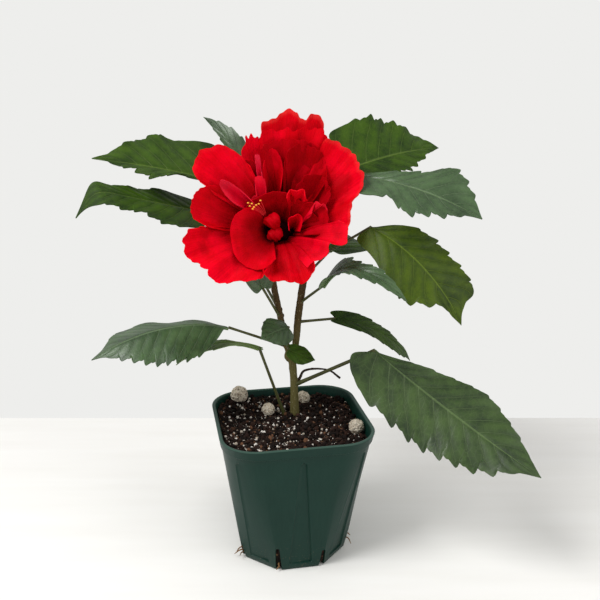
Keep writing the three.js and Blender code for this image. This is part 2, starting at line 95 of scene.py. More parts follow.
def hand_over(piece, name, nodes=(), looks=()):
    """Gives a finished piece its name and its materials, hangs it on the root and hides the solids it
    stands for.
    """
    piece.name = name
    for look in looks:
        piece.data.materials.append(look)
    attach(piece, "root")
    if nodes:
        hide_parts(*nodes)
    size = [round(side / MM, 1) for side in piece.dimensions]
    print(name, "has", len(piece.data.polygons), "faces and measures", size, "mm")


def points_of(piece):
    flat = np.empty(len(piece.data.vertices) * 3)
    piece.data.vertices.foreach_get("co", flat)
    return flat.reshape(-1, 3)


def put_points(piece, points):
    piece.data.vertices.foreach_set("co", np.asarray(points, float).ravel())
    piece.data.update()


def rings_piece(rings):
    """A circle primitive, put on the first ring, extruded through the others and closed."""
    bpy.ops.object.select_all(action="DESELECT")
    bpy.ops.mesh.primitive_circle_add(vertices=len(rings[0]), radius=1, enter_editmode=True)
    piece = bpy.context.object
    bpy.ops.mesh.select_all(action="SELECT")
    for number, ring in enumerate(rings):
        if number:
            bpy.ops.mesh.extrude_region_move()
        mesh = bmesh.from_edit_mesh(piece.data)
        for vertex, point in zip([v for v in mesh.verts if v.select], ring):
            vertex.co = Vector(point) * MM
    bpy.ops.mesh.edge_face_add()
    bpy.ops.mesh.select_all(action="DESELECT")
    mesh = bmesh.from_edit_mesh(piece.data)
    mesh.verts.ensure_lookup_table()
    for vertex in mesh.verts[: len(rings[0])]:
        vertex.select = True
    mesh.select_flush(True)
    bpy.ops.mesh.edge_face_add()
    bpy.ops.object.mode_set(mode="OBJECT")
    return piece


bpy.ops.object.select_all(action="DESELECT")

# %% [markdown]
# A finish is a node tree, and arithmetic is far easier to read as a formula than as boxes and
# wires. The class Signal stands for one socket: a sum written on it adds the Math nodes. The
# class Finish makes the material and has one method for every other kind of node.

# %% Formulas for materials
class Signal:
    """One socket of a finish. Arithmetic on it adds Math nodes."""

    def __init__(self, finish, socket):
        self.finish = finish
        self.socket = socket

    def __add__(self, other):
        return self.finish.math("ADD", self, other)

    def __radd__(self, other):
        return self.finish.math("ADD", other, self)

    def __sub__(self, other):
        return self.finish.math("SUBTRACT", self, other)

    def __rsub__(self, other):
        return self.finish.math("SUBTRACT", other, self)

    def __mul__(self, other):
        return self.finish.math("MULTIPLY", self, other)

    def __rmul__(self, other):
        return self.finish.math("MULTIPLY", other, self)

    def __pow__(self, other):
        return self.finish.math("POWER", self, other)

    def __abs__(self):
        return self.finish.math("ABSOLUTE", self)


def srgb(red, green, blue):
    """A colour as a picture shows it, turned to the linear numbers that a socket takes."""
    def straight(value):
        part = value / 255
        return part / 12.92 if part <= 0.04045 else ((part + 0.055) / 1.055) ** 2.4
    return (straight(red), straight(green), straight(blue), 1)


print("mid grey as a socket takes it:", round(srgb(128, 128, 128)[0], 3))

# %% The finish itself
CLOUD_ROUGHNESS = 0.55


class Finish:
    """A material whose varying values are written as formulas."""

    def __init__(self, name, rough=0.5, shine=0.5, more=()):
        self.material = bpy.data.materials.new(name)
        self.material.use_nodes = True
        self.tree = self.material.node_tree
        self.surface = self.tree.nodes["Principled BSDF"]
        constants = {"Roughness": rough, "Specular IOR Level": shine, **dict(more)}
        for socket, value in constants.items():
            self.surface.inputs[socket].default_value = value
        self.place = self.node("TexCoord", {}, {}, "Object")

    def node(self, kind, settings, sockets, output=0):
        made = self.tree.nodes.new("ShaderNode" + kind)
        for name, value in settings.items():
            setattr(made, name, value)
        for key, value in sockets.items():
            if isinstance(value, Signal):
                self.tree.links.new(value.socket, made.inputs[key])
            else:
                made.inputs[key].default_value = value
        return Signal(self, made.outputs[output])

    def math(self, operation, *values):
        return self.node("Math", {"operation": operation}, dict(enumerate(values)))

    def flow(self):
        """The piece's own map: along the blade, and across it from one margin to the other."""
        return self.node("UVMap", {"uv_map": "UVMap"}, {})

    def tone(self):
        """A number that each copy in a joined piece carries."""
        return self.node("Attribute", {"attribute_name": "tone"}, {}, "Fac")

    def part(self, vector, axis):
        return self.node("SeparateXYZ", {}, {0: vector}, axis)

    def texture(self, kind, scale, vector, settings, sockets, output=0):
        """A texture over the piece's place or another map. Three scales in one stretch it."""
        vector = vector or self.place
        if isinstance(scale, tuple):
            vector = self.node("Mapping", {}, {"Vector": vector, "Scale": scale})
            scale = 1.0
        return self.node(kind, settings, {"Vector": vector, "Scale": scale, **sockets}, output)

    def clouds(self, scale, detail=3.0, vector=None):
        sockets = {"Detail": detail, "Roughness": CLOUD_ROUGHNESS}
        return self.texture("TexNoise", scale, vector, {}, sockets)

    def cells(self, scale, feature="F1", output="Distance", vector=None):
        return self.texture("TexVoronoi", scale, vector, {"feature": feature}, {}, output)

    def rise(self, value, low, high):
        """0 below low, 1 above high, and a soft step between; low over high makes it fall."""
        sockets = {"Value": value, "From Min": low, "From Max": high}
        return self.node("MapRange", {"interpolation_type": "SMOOTHSTEP"}, sockets)

    def mix(self, factor, first, second):
        return self.node("Mix", {"data_type": "RGBA"}, {0: factor, 6: first, 7: second}, 2)

    def feed(self, socket, signal):
        self.tree.links.new(signal.socket, self.surface.inputs[socket])

    def bump(self, height, depth):
        """Depth is how far, in millimetres, the height's whole range stands up."""
        sockets = {"Height": height, "Distance": depth * MM, "Strength": 1.0}
        self.feed("Normal", self.node("Bump", {}, sockets))


def grainy(name, rough, shine, scale, detail, first, second, depth):
    """A finish of two colours in fine clouds, and the clouds stand up a little."""
    finish = Finish(name, rough, shine)
    grain = finish.clouds(scale, detail)
    finish.feed("Base Color", finish.mix(grain, first, second))
    finish.bump(grain, depth)
    return finish.material


print("a finish has:", ", ".join(name for name in vars(Finish) if name[0] != "_"))

# %% [markdown]
# The stage is a plain pale table whose far edge lies a little behind the pot, with nothing
# but pale light beyond it. The light is soft: the world is bright, and two broad area lamps,
# one high on the left and one lower on the right, give the leaves their sheen.

# %% The table
TABLE_EDGE = 185
TABLE_SPAN = 3200
TABLE_DEPTH = 1500
PALE = srgb(250, 249, 246)

table_finish = Finish("pale_table", 0.6)
grain = table_finish.clouds((6, 60, 60))
table_finish.feed("Base Color", table_finish.mix(grain, PALE, srgb(240, 238, 233)))

bpy.ops.mesh.primitive_plane_add(size=1)
table = bpy.context.object
table.name = "table"
corners = [(x * TABLE_SPAN, y, 0) for y in (-TABLE_DEPTH, TABLE_EDGE) for x in (-0.5, 0.5)]
put_points(table, np.array(corners) * MM)
table.data.materials.append(table_finish.material)
print("the table ends", TABLE_EDGE, "mm behind the middle of the pot")

# %% The light
SKY_STRENGTH = 0.62

world = bpy.data.worlds.new("soft_studio")
world.use_nodes = True
sky = world.node_tree
soft = sky.nodes["Background"]
soft.inputs["Color"].default_value = srgb(242, 242, 242)
soft.inputs["Strength"].default_value = SKY_STRENGTH
shown = sky.nodes.new("ShaderNodeBackground")
shown.inputs["Color"].default_value = srgb(238, 238, 236)
ray = sky.nodes.new("ShaderNodeLightPath")
either = sky.nodes.new("ShaderNodeMixShader")
sky.links.new(ray.outputs["Is Camera Ray"], either.inputs["Fac"])
sky.links.new(soft.outputs["Background"], either.inputs[1])
sky.links.new(shown.outputs["Background"], either.inputs[2])
sky.links.new(either.outputs["Shader"], sky.nodes["World Output"].inputs["Surface"])
bpy.context.scene.world = world


def lamp(name, place, aim, size, watts):
    bpy.ops.object.light_add(type="AREA", location=Vector(place) * MM)
    light = bpy.context.object
    light.name = name
    light.data.shape = "DISK"
    light.data.size = size * MM
    light.data.energy = watts
    way = Vector(aim) - Vector(place)
    light.rotation_euler = way.to_track_quat("-Z", "Y").to_euler()


lamp("key", (-650, -450, 1100), (0, 0, 130), 620, 12)
lamp("fill", (900, -600, 700), (0, 0, 120), 900, 4)
print("lamps:", len(bpy.data.lights))

# %% The camera
LENS = 48
CAMERA_AT = (5.8, -451, 289.7)
CAMERA_DOWN = 16.1

camera = bpy.data.objects.new("camera", bpy.data.cameras.new("camera"))
bpy.context.collection.objects.link(camera)
camera.location = Vector(CAMERA_AT) * MM
camera.rotation_euler = (math.radians(90 - CAMERA_DOWN), 0, 0)
camera.data.lens = LENS
camera.data.clip_start = 0.01
bpy.context.scene.camera = camera
bpy.context.scene.view_settings.view_transform = "Standard"
print("camera looks down by", CAMERA_DOWN, "degrees")

# %% [markdown]
# The pot is thin moulded plastic: a regular octagon at the foot that turns into a rounded
# square at the rim. Bridge Edge Loops could span the two outlines, but extruding one ring
# after another gives every point a place by rule. The recesses between the ribs need columns
# of points that run along their slanting borders, so each of the eight faces spreads its
# points by the width of its recess at that height.

# %% The pot's outline
POT_HEIGHT = 86
RIM_HALF = 45
RIM_CORNER = 21
FOOT_HALF = 32.25
POT_TURN = math.radians(10.8)
WALL = 1.4
FLOOR = 1.6
COLLAR_FOOT = 80
COLLAR_PROUD = 0.9
RECESS_DEPTH = 1.0
RECESS_FOOT = 4
RECESS_TOP = 76
RECESS_HALF = 6.7
RECESS_TOP_HALF = 1.5
RECESS_ROUND = 1.6
RECESS_EDGE = 0.35
RECESS_SLANT = 0.25
FACES = 8
BORDER_COLUMNS = 6
RECESS_COLUMNS = 5
NO_RECESS_HALF = 0.1
UP = np.array([0.0, 0.0, 1.0])


def face_point(face, part, half, edge, bulge):
    """A point on one of the eight faces; even faces are sides and odd ones are corners."""
    quarter, corner = divmod(face, 2)
    if corner:
        reach = half - edge
        turn = part * math.pi / 2
        flat = np.array([half - reach * part, edge + reach * part])
        round_ = np.array([edge + reach * math.cos(turn), edge + reach * math.sin(turn)])
        spot = flat + (round_ - flat) * bulge
    else:
        spot = np.array([half, edge * (2 * part - 1)])
    turn = quarter * math.pi / 2 + POT_TURN
    return np.array([
        spot[0] * math.cos(turn) - spot[1] * math.sin(turn),
        spot[0] * math.sin(turn) + spot[1] * math.cos(turn),
    ])


def outline_point(face, part, height, out=0.0):
    """A point on the wall's outside: the octagon at the foot runs straight up to the rim."""
    foot_half = FOOT_HALF + out
    foot = face_point(face, part, foot_half, foot_half * math.tan(math.pi / FACES), 0)
    rim = face_point(face, part, RIM_HALF + out, RIM_HALF - RIM_CORNER, 1)
    return foot + (rim - foot) * height / POT_HEIGHT


def recess_half(height):
    """Half the width of a recess at a height: widest at its foot and round at its top."""
    rise = (RECESS_TOP - height) / (RECESS_TOP - RECESS_FOOT)
    half = RECESS_TOP_HALF + (RECESS_HALF - RECESS_TOP_HALF) * min(rise, 1)
    return half * math.sqrt(min(max(RECESS_TOP - height, 0.1) / RECESS_ROUND, 1))


print("rim side", 2 * RIM_HALF, "mm; foot across flats", 2 * FOOT_HALF, "mm")

# %% One ring of the pot
def pot_ring(height, out, inside=False):
    """All the points at one height; outside, those between a recess's borders lie deeper."""
    ring = []
    half = recess_half(height)
    recessed = RECESS_FOOT < height < RECESS_TOP and not inside
    for face in range(FACES):
        ends = outline_point(face, 0, height), outline_point(face, 1, height)
        width = np.linalg.norm(ends[1] - ends[0])
        low, high = half - RECESS_EDGE, half + RECESS_EDGE
        low = low if low > 0 else NO_RECESS_HALF
        places = np.concatenate([
            np.linspace(-width / 2, -high, BORDER_COLUMNS),
            np.linspace(-low, low, RECESS_COLUMNS),
            np.linspace(high, width / 2, BORDER_COLUMNS)[:-1],
        ])
        angle = face * math.pi / 4 + POT_TURN
        outwards = np.array([math.cos(angle), math.sin(angle)])
        for place in places:
            spot = outline_point(face, 0.5 + place / width, height, out)
            if recessed and abs(place) < half:
                slant = 1 - RECESS_SLANT + RECESS_SLANT * place / half
                spot = spot - outwards * RECESS_DEPTH * slant
            ring.append((spot[0], spot[1], height))
    return ring


print("points on a ring:", len(pot_ring(COLLAR_FOOT, 0)))

# %% Extrude the pot
# each ring's height, and how far it stands out from the wall
OUTER_RINGS = [(0, -0.9), (0.25, -0.35), (0.9, 0), (3.9, 0), (4.3, 0)]
OUTER_RINGS += [(height, 0) for height in np.linspace(8, 74, 20)]
OUTER_RINGS += [(height, 0) for height in (74.6, 75.2, 75.6, 75.9, 76.4, 79.4)]
OUTER_RINGS += [(79.9, 0.08), (80.05, 0.55), (80.3, 0.85), (80.8, COLLAR_PROUD)]
OUTER_RINGS += [(84.4, COLLAR_PROUD), (84.9, 1.0), (85.5, 0.95), (85.85, 0.7), (86, 0.25)]
INNER_RINGS = [(85.95, -0.5), (85.6, -1.0), (84.8, -WALL), (80, -WALL), (60, -WALL), (30, -WALL)]
INNER_RINGS += [(FLOOR + 1, -WALL), (FLOOR + 0.2, -WALL - 0.4), (FLOOR, -WALL - 1.2)]

pot_rings = [pot_ring(height, out) for height, out in OUTER_RINGS]
pot_rings += [pot_ring(height, out, True) for height, out in INNER_RINGS]
pot = rings_piece(pot_rings)
outward(pot)
print("rings in the pot:", len(pot_rings))

# %% Cut the slits
SLIT_WIDTH = 4.2
SLIT_TOP_SHARE = 0.5
SLIT_HEIGHT = 12
TALL_SLIT_CORNER = 5
TALL_SLIT_HEIGHT = 16.5
SLIT_REACH = 31
CUTTER_LENGTH = 10
CUTTER_BELOW = 2
CUTTER_ROUND = 0.7


def corner_angle(corner):
    return (corner + 0.5) * math.pi / 4 + POT_TURN


def slit_cutter(corner):
    """A round-topped wedge that is pushed through the wall at one corner of the foot."""
    height = TALL_SLIT_HEIGHT if corner == TALL_SLIT_CORNER else SLIT_HEIGHT
    bpy.ops.mesh.primitive_cube_add(size=1, location=(0, 0, 0))
    cutter = bpy.context.object
    points = points_of(cutter)
    width = np.where(points[:, 2] > 0, SLIT_WIDTH * SLIT_TOP_SHARE, SLIT_WIDTH)
    points[:, 1] = points[:, 1] * width
    points = points * (CUTTER_LENGTH, 1, height + CUTTER_BELOW)
    points = points + (SLIT_REACH + CUTTER_LENGTH / 2, 0, (height - CUTTER_BELOW) / 2)
    put_points(cutter, points * MM)
    bpy.ops.object.mode_set(mode="EDIT")
    mesh = bmesh.from_edit_mesh(cutter.data)
    for edge in mesh.edges:
        first, second = edge.verts
        level = abs(first.co.y - second.co.y) < MM
        edge.select_set(level and first.co.z > 0 and second.co.z > 0)
    bpy.ops.mesh.bevel(offset=CUTTER_ROUND * MM, segments=3)
    bpy.ops.object.mode_set(mode="OBJECT")
    cutter.rotation_euler = (0, 0, corner_angle(corner))
    only(cutter)
    bpy.ops.object.transform_apply(location=False, rotation=True, scale=False)
    return cutter


slits = joined([slit_cutter(corner) for corner in range(FACES)])
apply(pot, "BOOLEAN", operation="DIFFERENCE", object=slits, solver="EXACT")
bpy.data.objects.remove(slits)
smooth(pot, 32)
print("slits:", FACES)

# %% Green plastic
plastic = Finish("green_pot_plastic", 0.42, 0.17)
height = plastic.part(plastic.place, "Z")
haze = plastic.clouds(60)
streaks = plastic.clouds((700, 700, 40))
green = plastic.mix(haze, srgb(0, 38, 30), srgb(10, 48, 39))
green = plastic.mix(0.1 * streaks, green, srgb(70, 94, 82))
dust = plastic.rise(plastic.clouds(900), 0.62, 0.7) * plastic.rise(height, 0.03, 0.0)
green = plastic.mix(0.35 * dust, green, srgb(120, 104, 84))
# the lighter band along the top of the rim is a painted highlight
lip_highlight = plastic.rise(height, 0.0851, 0.0858)
plastic.feed("Base Color", plastic.mix(0.35 * lip_highlight, green, srgb(92, 118, 106)))
plastic.feed("Roughness", 0.26 + 0.2 * haze + 0.1 * streaks)
plastic.bump(plastic.clouds(1600), 0.03)
hand_over(pot, "nursery_pot", ["pot"], [plastic.material])

# %% [markdown]
# The soil is a crumbly mix: dark peat and bark with white perlite. A relief with a bump map
# alone looks like carpet, so the top is a fine surface that is pushed about by noise, and
# hundreds of loose crumbs, bark flakes and perlite grains lie on it. Each kind is modelled a
# few times, and the copies are turned, sized and laid by chance from a fixed seed.

# %% The soil
SOIL_LEVEL = 80.2
SOIL_FALL_X = -0.04
SOIL_RISE_Y = 0.02
SOIL_GAP = WALL + 0.15
SOIL_COLUMNS = 20
SOIL_RINGS = 62


def soil_height(x, y, lumps=1.0):
    """The height of the soil's surface: a slope with hollows, lumps and crumbs on it."""
    base = SOIL_LEVEL + SOIL_FALL_X * x + SOIL_RISE_Y * y
    broad = noise.noise((x / 14, y / 14, 3.1)) * 1.6
    middle = noise.noise((x / 4.5, y / 4.5, 7.7)) * 1.3
    fine = noise.noise((x / 1.6, y / 1.6, 1.3)) * 0.8
    return base + lumps * (broad + middle + fine)


def soil_ring(share, height=None):
    """A ring inside the wall at a height, or drawn in to a share of the top surface."""
    level = SOIL_LEVEL if height is None else height
    ring = []
    for face in range(FACES):
        for step in range(SOIL_COLUMNS):
            spot = outline_point(face, step / SOIL_COLUMNS, level, -SOIL_GAP) * share
            z = height if height is not None else soil_height(*spot)
            ring.append((spot[0], spot[1], z))
    return ring


soil_rings = [soil_ring(1, height) for height in (FLOOR + 0.3, 8, 16, 40, 70)]
soil_rings += [soil_ring(1 - step / SOIL_RINGS) for step in range(SOIL_RINGS)]
soil = rings_piece(soil_rings)
outward(soil)
smooth(soil, 80)
print("the soil's surface lies", round(soil_height(0, 0), 1), "mm up in the middle")

# %% Damp earth
earth = Finish("potting_soil", 0.95, 0.2)
grains = earth.cells(900, output="Color")
grain_tone = earth.part(grains, "X")
brown = earth.mix(earth.rise(grain_tone, 0.2, 0.9), srgb(22, 14, 11), srgb(58, 38, 29))
tan = earth.rise(grain_tone, 0.93, 0.97)
brown = earth.mix(0.6 * tan, brown, srgb(150, 118, 84))
patches = earth.clouds(220)
earth.feed("Base Color", earth.mix(0.5 * patches, brown, srgb(14, 10, 8)))
earth.bump(earth.clouds(2200, 5) + earth.cells(1500), 0.5)
hand_over(soil, "soil_body", ["soil"], [earth.material])

# %% Small stones
SEED = 29
chance = np.random.default_rng(SEED)


def chunk(kind, rough, flat=(1, 1, 1)):
    """A small stone of a few dozen faces, one millimetre across, with a knocked-about shape."""
    bpy.ops.object.select_all(action="DESELECT")
    if kind == "ball":
        bpy.ops.mesh.primitive_uv_sphere_add(segments=8, ring_count=5, radius=0.5)
    else:
        bpy.ops.mesh.primitive_ico_sphere_add(subdivisions=1, radius=0.5)
    stone = bpy.context.object
    points = points_of(stone)
    points = points * (1 + chance.uniform(-rough, rough, (len(points), 3))) * flat
    faces = [tuple(face.vertices) for face in stone.data.polygons]
    bpy.data.objects.remove(stone)
    return points, faces


def turn_matrix(a, b, c):
    """Turns about X, Y and Z as one matrix."""
    about_x = np.array([[1, 0, 0], [0, math.cos(a), -math.sin(a)], [0, math.sin(a), math.cos(a)]])
    about_y = np.array([[math.cos(b), 0, math.sin(b)], [0, 1, 0], [-math.sin(b), 0, math.cos(b)]])
    about_z = np.array([[math.cos(c), -math.sin(c), 0], [math.sin(c), math.cos(c), 0], [0, 0, 1]])
    return about_z @ about_y @ about_x


def scattered(kinds, copies):
    """Many turned and sized copies of a few chunks: (place, size, angles, tone) each."""
    points, faces, tones = [], [], []
    start = 0
    for number, (place, size, angles, tone) in enumerate(copies):
        shape, sides = kinds[number % len(kinds)]
        points.append((shape * size) @ turn_matrix(*angles).T + place)
        faces += [tuple(corner + start for corner in face) for face in sides]
        tones.append(np.full(len(shape), tone))
        start += len(shape)
    mesh = bpy.data.meshes.new("mesh")
    mesh.from_pydata((np.concatenate(points) * MM).tolist(), [], faces)
    marks = mesh.attributes.new("tone", "FLOAT", "POINT")
    marks.data.foreach_set("value", np.concatenate(tones))
    piece = bpy.data.objects.new("piece", mesh)
    bpy.context.collection.objects.link(piece)
    return piece


crumb_kinds = [chunk("rock", 0.3) for _ in range(5)]
flake_kinds = [chunk("rock", 0.25, (1.0, 0.55, 0.2)) for _ in range(4)]
perlite_kinds = [chunk("ball", 0.16) for _ in range(5)]
print("faces of a crumb:", len(crumb_kinds[0][1]), "and of a perlite grain:", len(perlite_kinds[0][1]))

# %% Lay the loose grains
LITTER_HALF = 43.6
LITTER_SPAN = 44
MOSTLY_SMALL = 2.2
LYING_TILT = 0.35
LYING_LIFT = 0.12


def in_pot(x, y, margin):
    """True where a spot lies inside the pot's wall by a margin."""
    u = abs(x * math.cos(-POT_TURN) - y * math.sin(-POT_TURN))
    v = abs(x * math.sin(-POT_TURN) + y * math.cos(-POT_TURN))
    half = LITTER_HALF - WALL - margin
    straight = RIM_HALF - RIM_CORNER
    over = math.hypot(max(u - straight, 0), max(v - straight, 0))
    return max(u, v) < half and over < half - straight


def litter(count, sizes, margin, sink=0.15, drift=None, lying=False):
    """Places for loose bits on the soil: mostly small, seldom large."""
    copies = []
    while len(copies) < count:
        x, y = chance.uniform(-LITTER_SPAN, LITTER_SPAN, 2)
        if not in_pot(x, y, margin):
            continue
        if drift and chance.uniform() > drift(x, y):
            continue
        size = sizes[0] + (sizes[1] - sizes[0]) * chance.uniform() ** MOSTLY_SMALL
        tilt = LYING_TILT if lying else math.pi
        angles = (chance.uniform(-tilt, tilt), chance.uniform(-tilt, tilt), chance.uniform(0, 6.28))
        lift = size * (LYING_LIFT if lying else 0.5 - sink)
        place = np.array([x, y, soil_height(x, y) + lift])
        copies.append((place, size * chance.uniform(0.75, 1.25, 3), angles, chance.uniform()))
    return copies


def front_left(x, y):
    """How likely a grain is to stay: the perlite has gathered at the front and the left."""
    return 0.35 + 0.5 * (x < 5) + 0.3 * (y < 0)


crumbs = scattered(crumb_kinds, litter(2600, sizes=(0.7, 3.2), margin=0.6))
flakes = scattered(flake_kinds, litter(260, sizes=(1.8, 5.5), margin=2.0, lying=True))
perlite_spots = litter(900, sizes=(0.4, 1.9), margin=0.8, sink=0.1, drift=front_left)
perlite = scattered(perlite_kinds, perlite_spots)
loose = (crumbs, flakes, perlite)
for piece in loose:
    outward(piece, 0.001 * MM)
smooth(perlite, 50)
print("faces of crumbs, flakes and perlite:", [len(piece.data.polygons) for piece in loose])

# %% Peat, bark and perlite
peat = Finish("peat_crumb", 0.95, 0.2)
tone = peat.tone()
colour = peat.mix(tone ** 2, srgb(20, 13, 10), srgb(56, 35, 27))
colour = peat.mix(peat.rise(tone, 0.92, 0.96), colour, srgb(112, 78, 56))
peat.feed("Base Color", peat.mix(0.5 * peat.clouds(1400), colour, srgb(16, 11, 9)))
peat.bump(peat.clouds(3000, 5), 0.25)
hand_over(crumbs, "peat_crumbs", (), [peat.material])

bark_chip = Finish("bark_chip", 0.85, 0.25)
fibres = bark_chip.clouds((500, 2600, 2600), 4)
colour = bark_chip.mix(bark_chip.tone(), srgb(40, 26, 21), srgb(92, 60, 46))
bark_chip.feed("Base Color", bark_chip.mix(fibres, colour, srgb(30, 20, 15)))
bark_chip.bump(fibres, 0.25)
hand_over(flakes, "bark_flakes", (), [bark_chip.material])

white_grain = Finish("perlite_grain", 0.9, 0.3)
pores = white_grain.rise(white_grain.cells(2600), 0.1, 0.35)
colour = white_grain.mix(white_grain.tone(), srgb(160, 148, 132), srgb(238, 234, 226))
white_grain.feed("Base Color", white_grain.mix(pores, srgb(150, 136, 118), colour))
white_grain.bump(pores, 0.15)
hand_over(perlite, "perlite_grains", (), [white_grain.material])

# %% [markdown]
# Four balls of slow fertiliser lie half sunk in the soil. They are pressed from meal, so they
# are not smooth beads: a fine ball is dented by a cloud texture and pitted by a cell texture,
# both through the Displace modifier.

# %% Fertiliser balls
DENT_DEPTH = 0.9
PIT_DEPTH = 0.75
BALLS = [
    # the place on the soil, the radius, and how high the middle lies over the soil
    ((-33.6, 30), 5.8, 4.8),
    ((-14.3, 13), 4.4, 3.2),
    ((7.8, 33), 4.5, 3.1),
    ((39.8, -8), 4.8, 4.0),
]


def relief_texture(name, kind, size, **settings):
    texture = bpy.data.textures.new(name, kind)
    texture.noise_scale = size * MM
    for key, value in settings.items():
        setattr(texture, key, value)
    return texture


dents = relief_texture("ball_dents", "CLOUDS", 3.2, noise_depth=3)
pits = relief_texture("ball_pits", "VORONOI", 1.5)


def meal_ball(spot, radius, stand):
    """A fine ball that sits in the soil and is dented, then pitted."""
    height = soil_height(*spot, lumps=0) + stand
    bpy.ops.mesh.primitive_ico_sphere_add(subdivisions=6, radius=(radius - 0.2) * MM)
    ball = bpy.context.object
    put_points(ball, points_of(ball) + np.array([*spot, height]) * MM)
    for texture, depth, level in ((dents, DENT_DEPTH, 0.5), (pits, PIT_DEPTH, 0.6)):
        apply(ball, "DISPLACE", texture=texture, texture_coords="LOCAL",
              strength=depth * MM, mid_level=level)
    smooth(ball, 80)
    return ball


meal = Finish("pressed_meal", 0.92, 0.2)
bent = meal.clouds(260)
strands = meal.rise(meal.cells(480, "DISTANCE_TO_EDGE"), 0.02, 0.22)
colour = meal.mix(bent, srgb(170, 150, 120), srgb(232, 222, 204))
colour = meal.mix(strands, srgb(222, 212, 194), colour)
stains = meal.rise(meal.clouds(700, 4), 0.5, 0.66)
meal.feed("Base Color", meal.mix(0.85 * stains, colour, srgb(104, 84, 62)))
meal.bump(meal.clouds(1500, 5) - 0.6 * strands, 0.5)
for number, (spot, radius, stand) in enumerate(BALLS):
    name = "pellet_" + str(number + 1)
    hand_over(meal_ball(spot, radius, stand), "meal_" + name, [name], [meal.material])

# %% [markdown]
# A woody stem is a round bar that bends, swells at every old leaf and forks with no seam. A
# curve with a round section gives the bars, and a voxel remesh melts trunk, fork and boughs
# into one skin, as clay would be. The bark's ridges are then pushed up by noise that is
# stretched along the stem. The bare twig is one more bar with that relief, and the root tips
# at the slits are the thinnest bars.

# %% Routes
def smooth_route(route, spacing=0.6):
    """A centripetal Catmull-Rom curve through the route, with points at even distances."""
    given = [np.array(point, float) for point in route]
    given = [2 * given[0] - given[1]] + given + [2 * given[-1] - given[-2]]
    fine = []
    for p0, p1, p2, p3 in zip(given, given[1:], given[2:], given[3:]):
        gaps = [max(np.linalg.norm(b - a), 1e-6) ** 0.5 for a, b in ((p0, p1), (p1, p2), (p2, p3))]
        t0, t1 = 0.0, gaps[0]
        t2 = t1 + gaps[1]
        t3 = t2 + gaps[2]
        for t in np.linspace(t1, t2, 40, endpoint=False):
            a1 = (t1 - t) / (t1 - t0) * p0 + (t - t0) / (t1 - t0) * p1
            a2 = (t2 - t) / (t2 - t1) * p1 + (t - t1) / (t2 - t1) * p2
            a3 = (t3 - t) / (t3 - t2) * p2 + (t - t2) / (t3 - t2) * p3
            b1 = (t2 - t) / (t2 - t0) * a1 + (t - t0) / (t2 - t0) * a2
            b2 = (t3 - t) / (t3 - t1) * a2 + (t - t1) / (t3 - t1) * a3
            fine.append((t2 - t) / (t2 - t1) * b1 + (t - t1) / (t2 - t1) * b2)
    fine.append(given[-2])
    fine = np.array(fine)
    length = np.concatenate([[0], np.cumsum(np.linalg.norm(np.diff(fine, axis=0), axis=1))])
    steps = max(int(length[-1] / spacing), 4)
    even = np.linspace(0, length[-1], steps + 1)
    return np.stack([np.interp(even, length, fine[:, axis]) for axis in range(3)], axis=1)


def tube(points, radii, roundness=4):
    """A curve with a round section and closed ends, turned into a mesh."""
    bpy.ops.object.select_all(action="DESELECT")
    bpy.ops.curve.primitive_bezier_curve_add()
    curve = bpy.context.object
    curve.data.splines.clear()
    spline = curve.data.splines.new("POLY")
    spline.points.add(len(points) - 1)
    spread = np.interp(np.linspace(0, 1, len(points)), np.linspace(0, 1, len(radii)), radii)
    for made, point, radius in zip(spline.points, points, spread):
        made.co = (*(np.asarray(point) * MM), 1)
        made.radius = radius
    curve.data.bevel_depth = MM
    curve.data.bevel_resolution = roundness
    curve.data.use_fill_caps = True
    bpy.ops.object.convert(target="MESH")
    return bpy.context.object


TRUNK = [(2.4, 14, 76), (2.4, 14, 84), (2, 14.5, 103), (0.2, 15, 123.4)]
TRUNK_RADII = [3.25, 2.6, 2.39, 2.5]
LEFT_BOUGH = [(0.8, 14.9, 117), (-1.9, 14.8, 124.2), (-6.3, 13, 146.3), (-10.3, 11, 168.8),
              (-12, 13, 192), (-12.5, 14, 214), (-11.5, 15, 224)]
LEFT_RADII = [1.9, 2, 1.9, 1.9, 1.7, 1.4, 1]
RIGHT_BOUGH = [(0.6, 15, 117), (2.6, 15.2, 124), (5.2, 14, 149.2), (8.6, 13, 172), (15.1, 12, 213.6),
               (22, 14, 232)]
RIGHT_RADII = [2.1, 2.2, 2.2, 2, 1.5, 1]
FORK = (0.3, 15, 119.4)
FORK_SIZE = (4.3, 2.6, 4.6)
SWELLINGS = [(2.4, 14.4, 100), (-2.2, 14.7, 125.6), (-3.2, 14.4, 130), (-4.9, 13.7, 139.3),
             (-5.9, 13.2, 146), (-7, 12.8, 150), (-10.3, 11.2, 172), (-11.9, 12.8, 190),
             (-12.3, 13.4, 203), (-12.5, 14, 214), (4.5, 14.4, 141.5), (5.8, 13.8, 154),
             (8.4, 13, 170), (9.5, 12.8, 178), (13, 12.3, 200), (14.3, 12.2, 207),
             (17.6, 12.6, 221), (20, 13.3, 227)]
SWELLING_SIZE = (2.35, 2.35, 1.5)
STEM_VOXEL = 0.34
print("the stem forks at a height of", FORK[2], "mm and swells in", len(SWELLINGS), "places")

# %% Trunk and boughs in one skin
def knot(spot, size, segments, rings):
    bpy.ops.mesh.primitive_uv_sphere_add(segments=segments, ring_count=rings, radius=1)
    ball = bpy.context.object
    put_points(ball, (points_of(ball) * size + spot) * MM)
    return ball


limbs = ((TRUNK, TRUNK_RADII), (LEFT_BOUGH, LEFT_RADII), (RIGHT_BOUGH, RIGHT_RADII))
bars = [tube(smooth_route(route), radii, 6) for route, radii in limbs]
bars.append(knot(FORK, FORK_SIZE, 24, 16))
bars += [knot(spot, SWELLING_SIZE, 16, 10) for spot in SWELLINGS]
stems = joined(bars)
apply(stems, "REMESH", mode="VOXEL", voxel_size=STEM_VOXEL * MM)
apply(stems, "SMOOTH", factor=0.6, iterations=5)


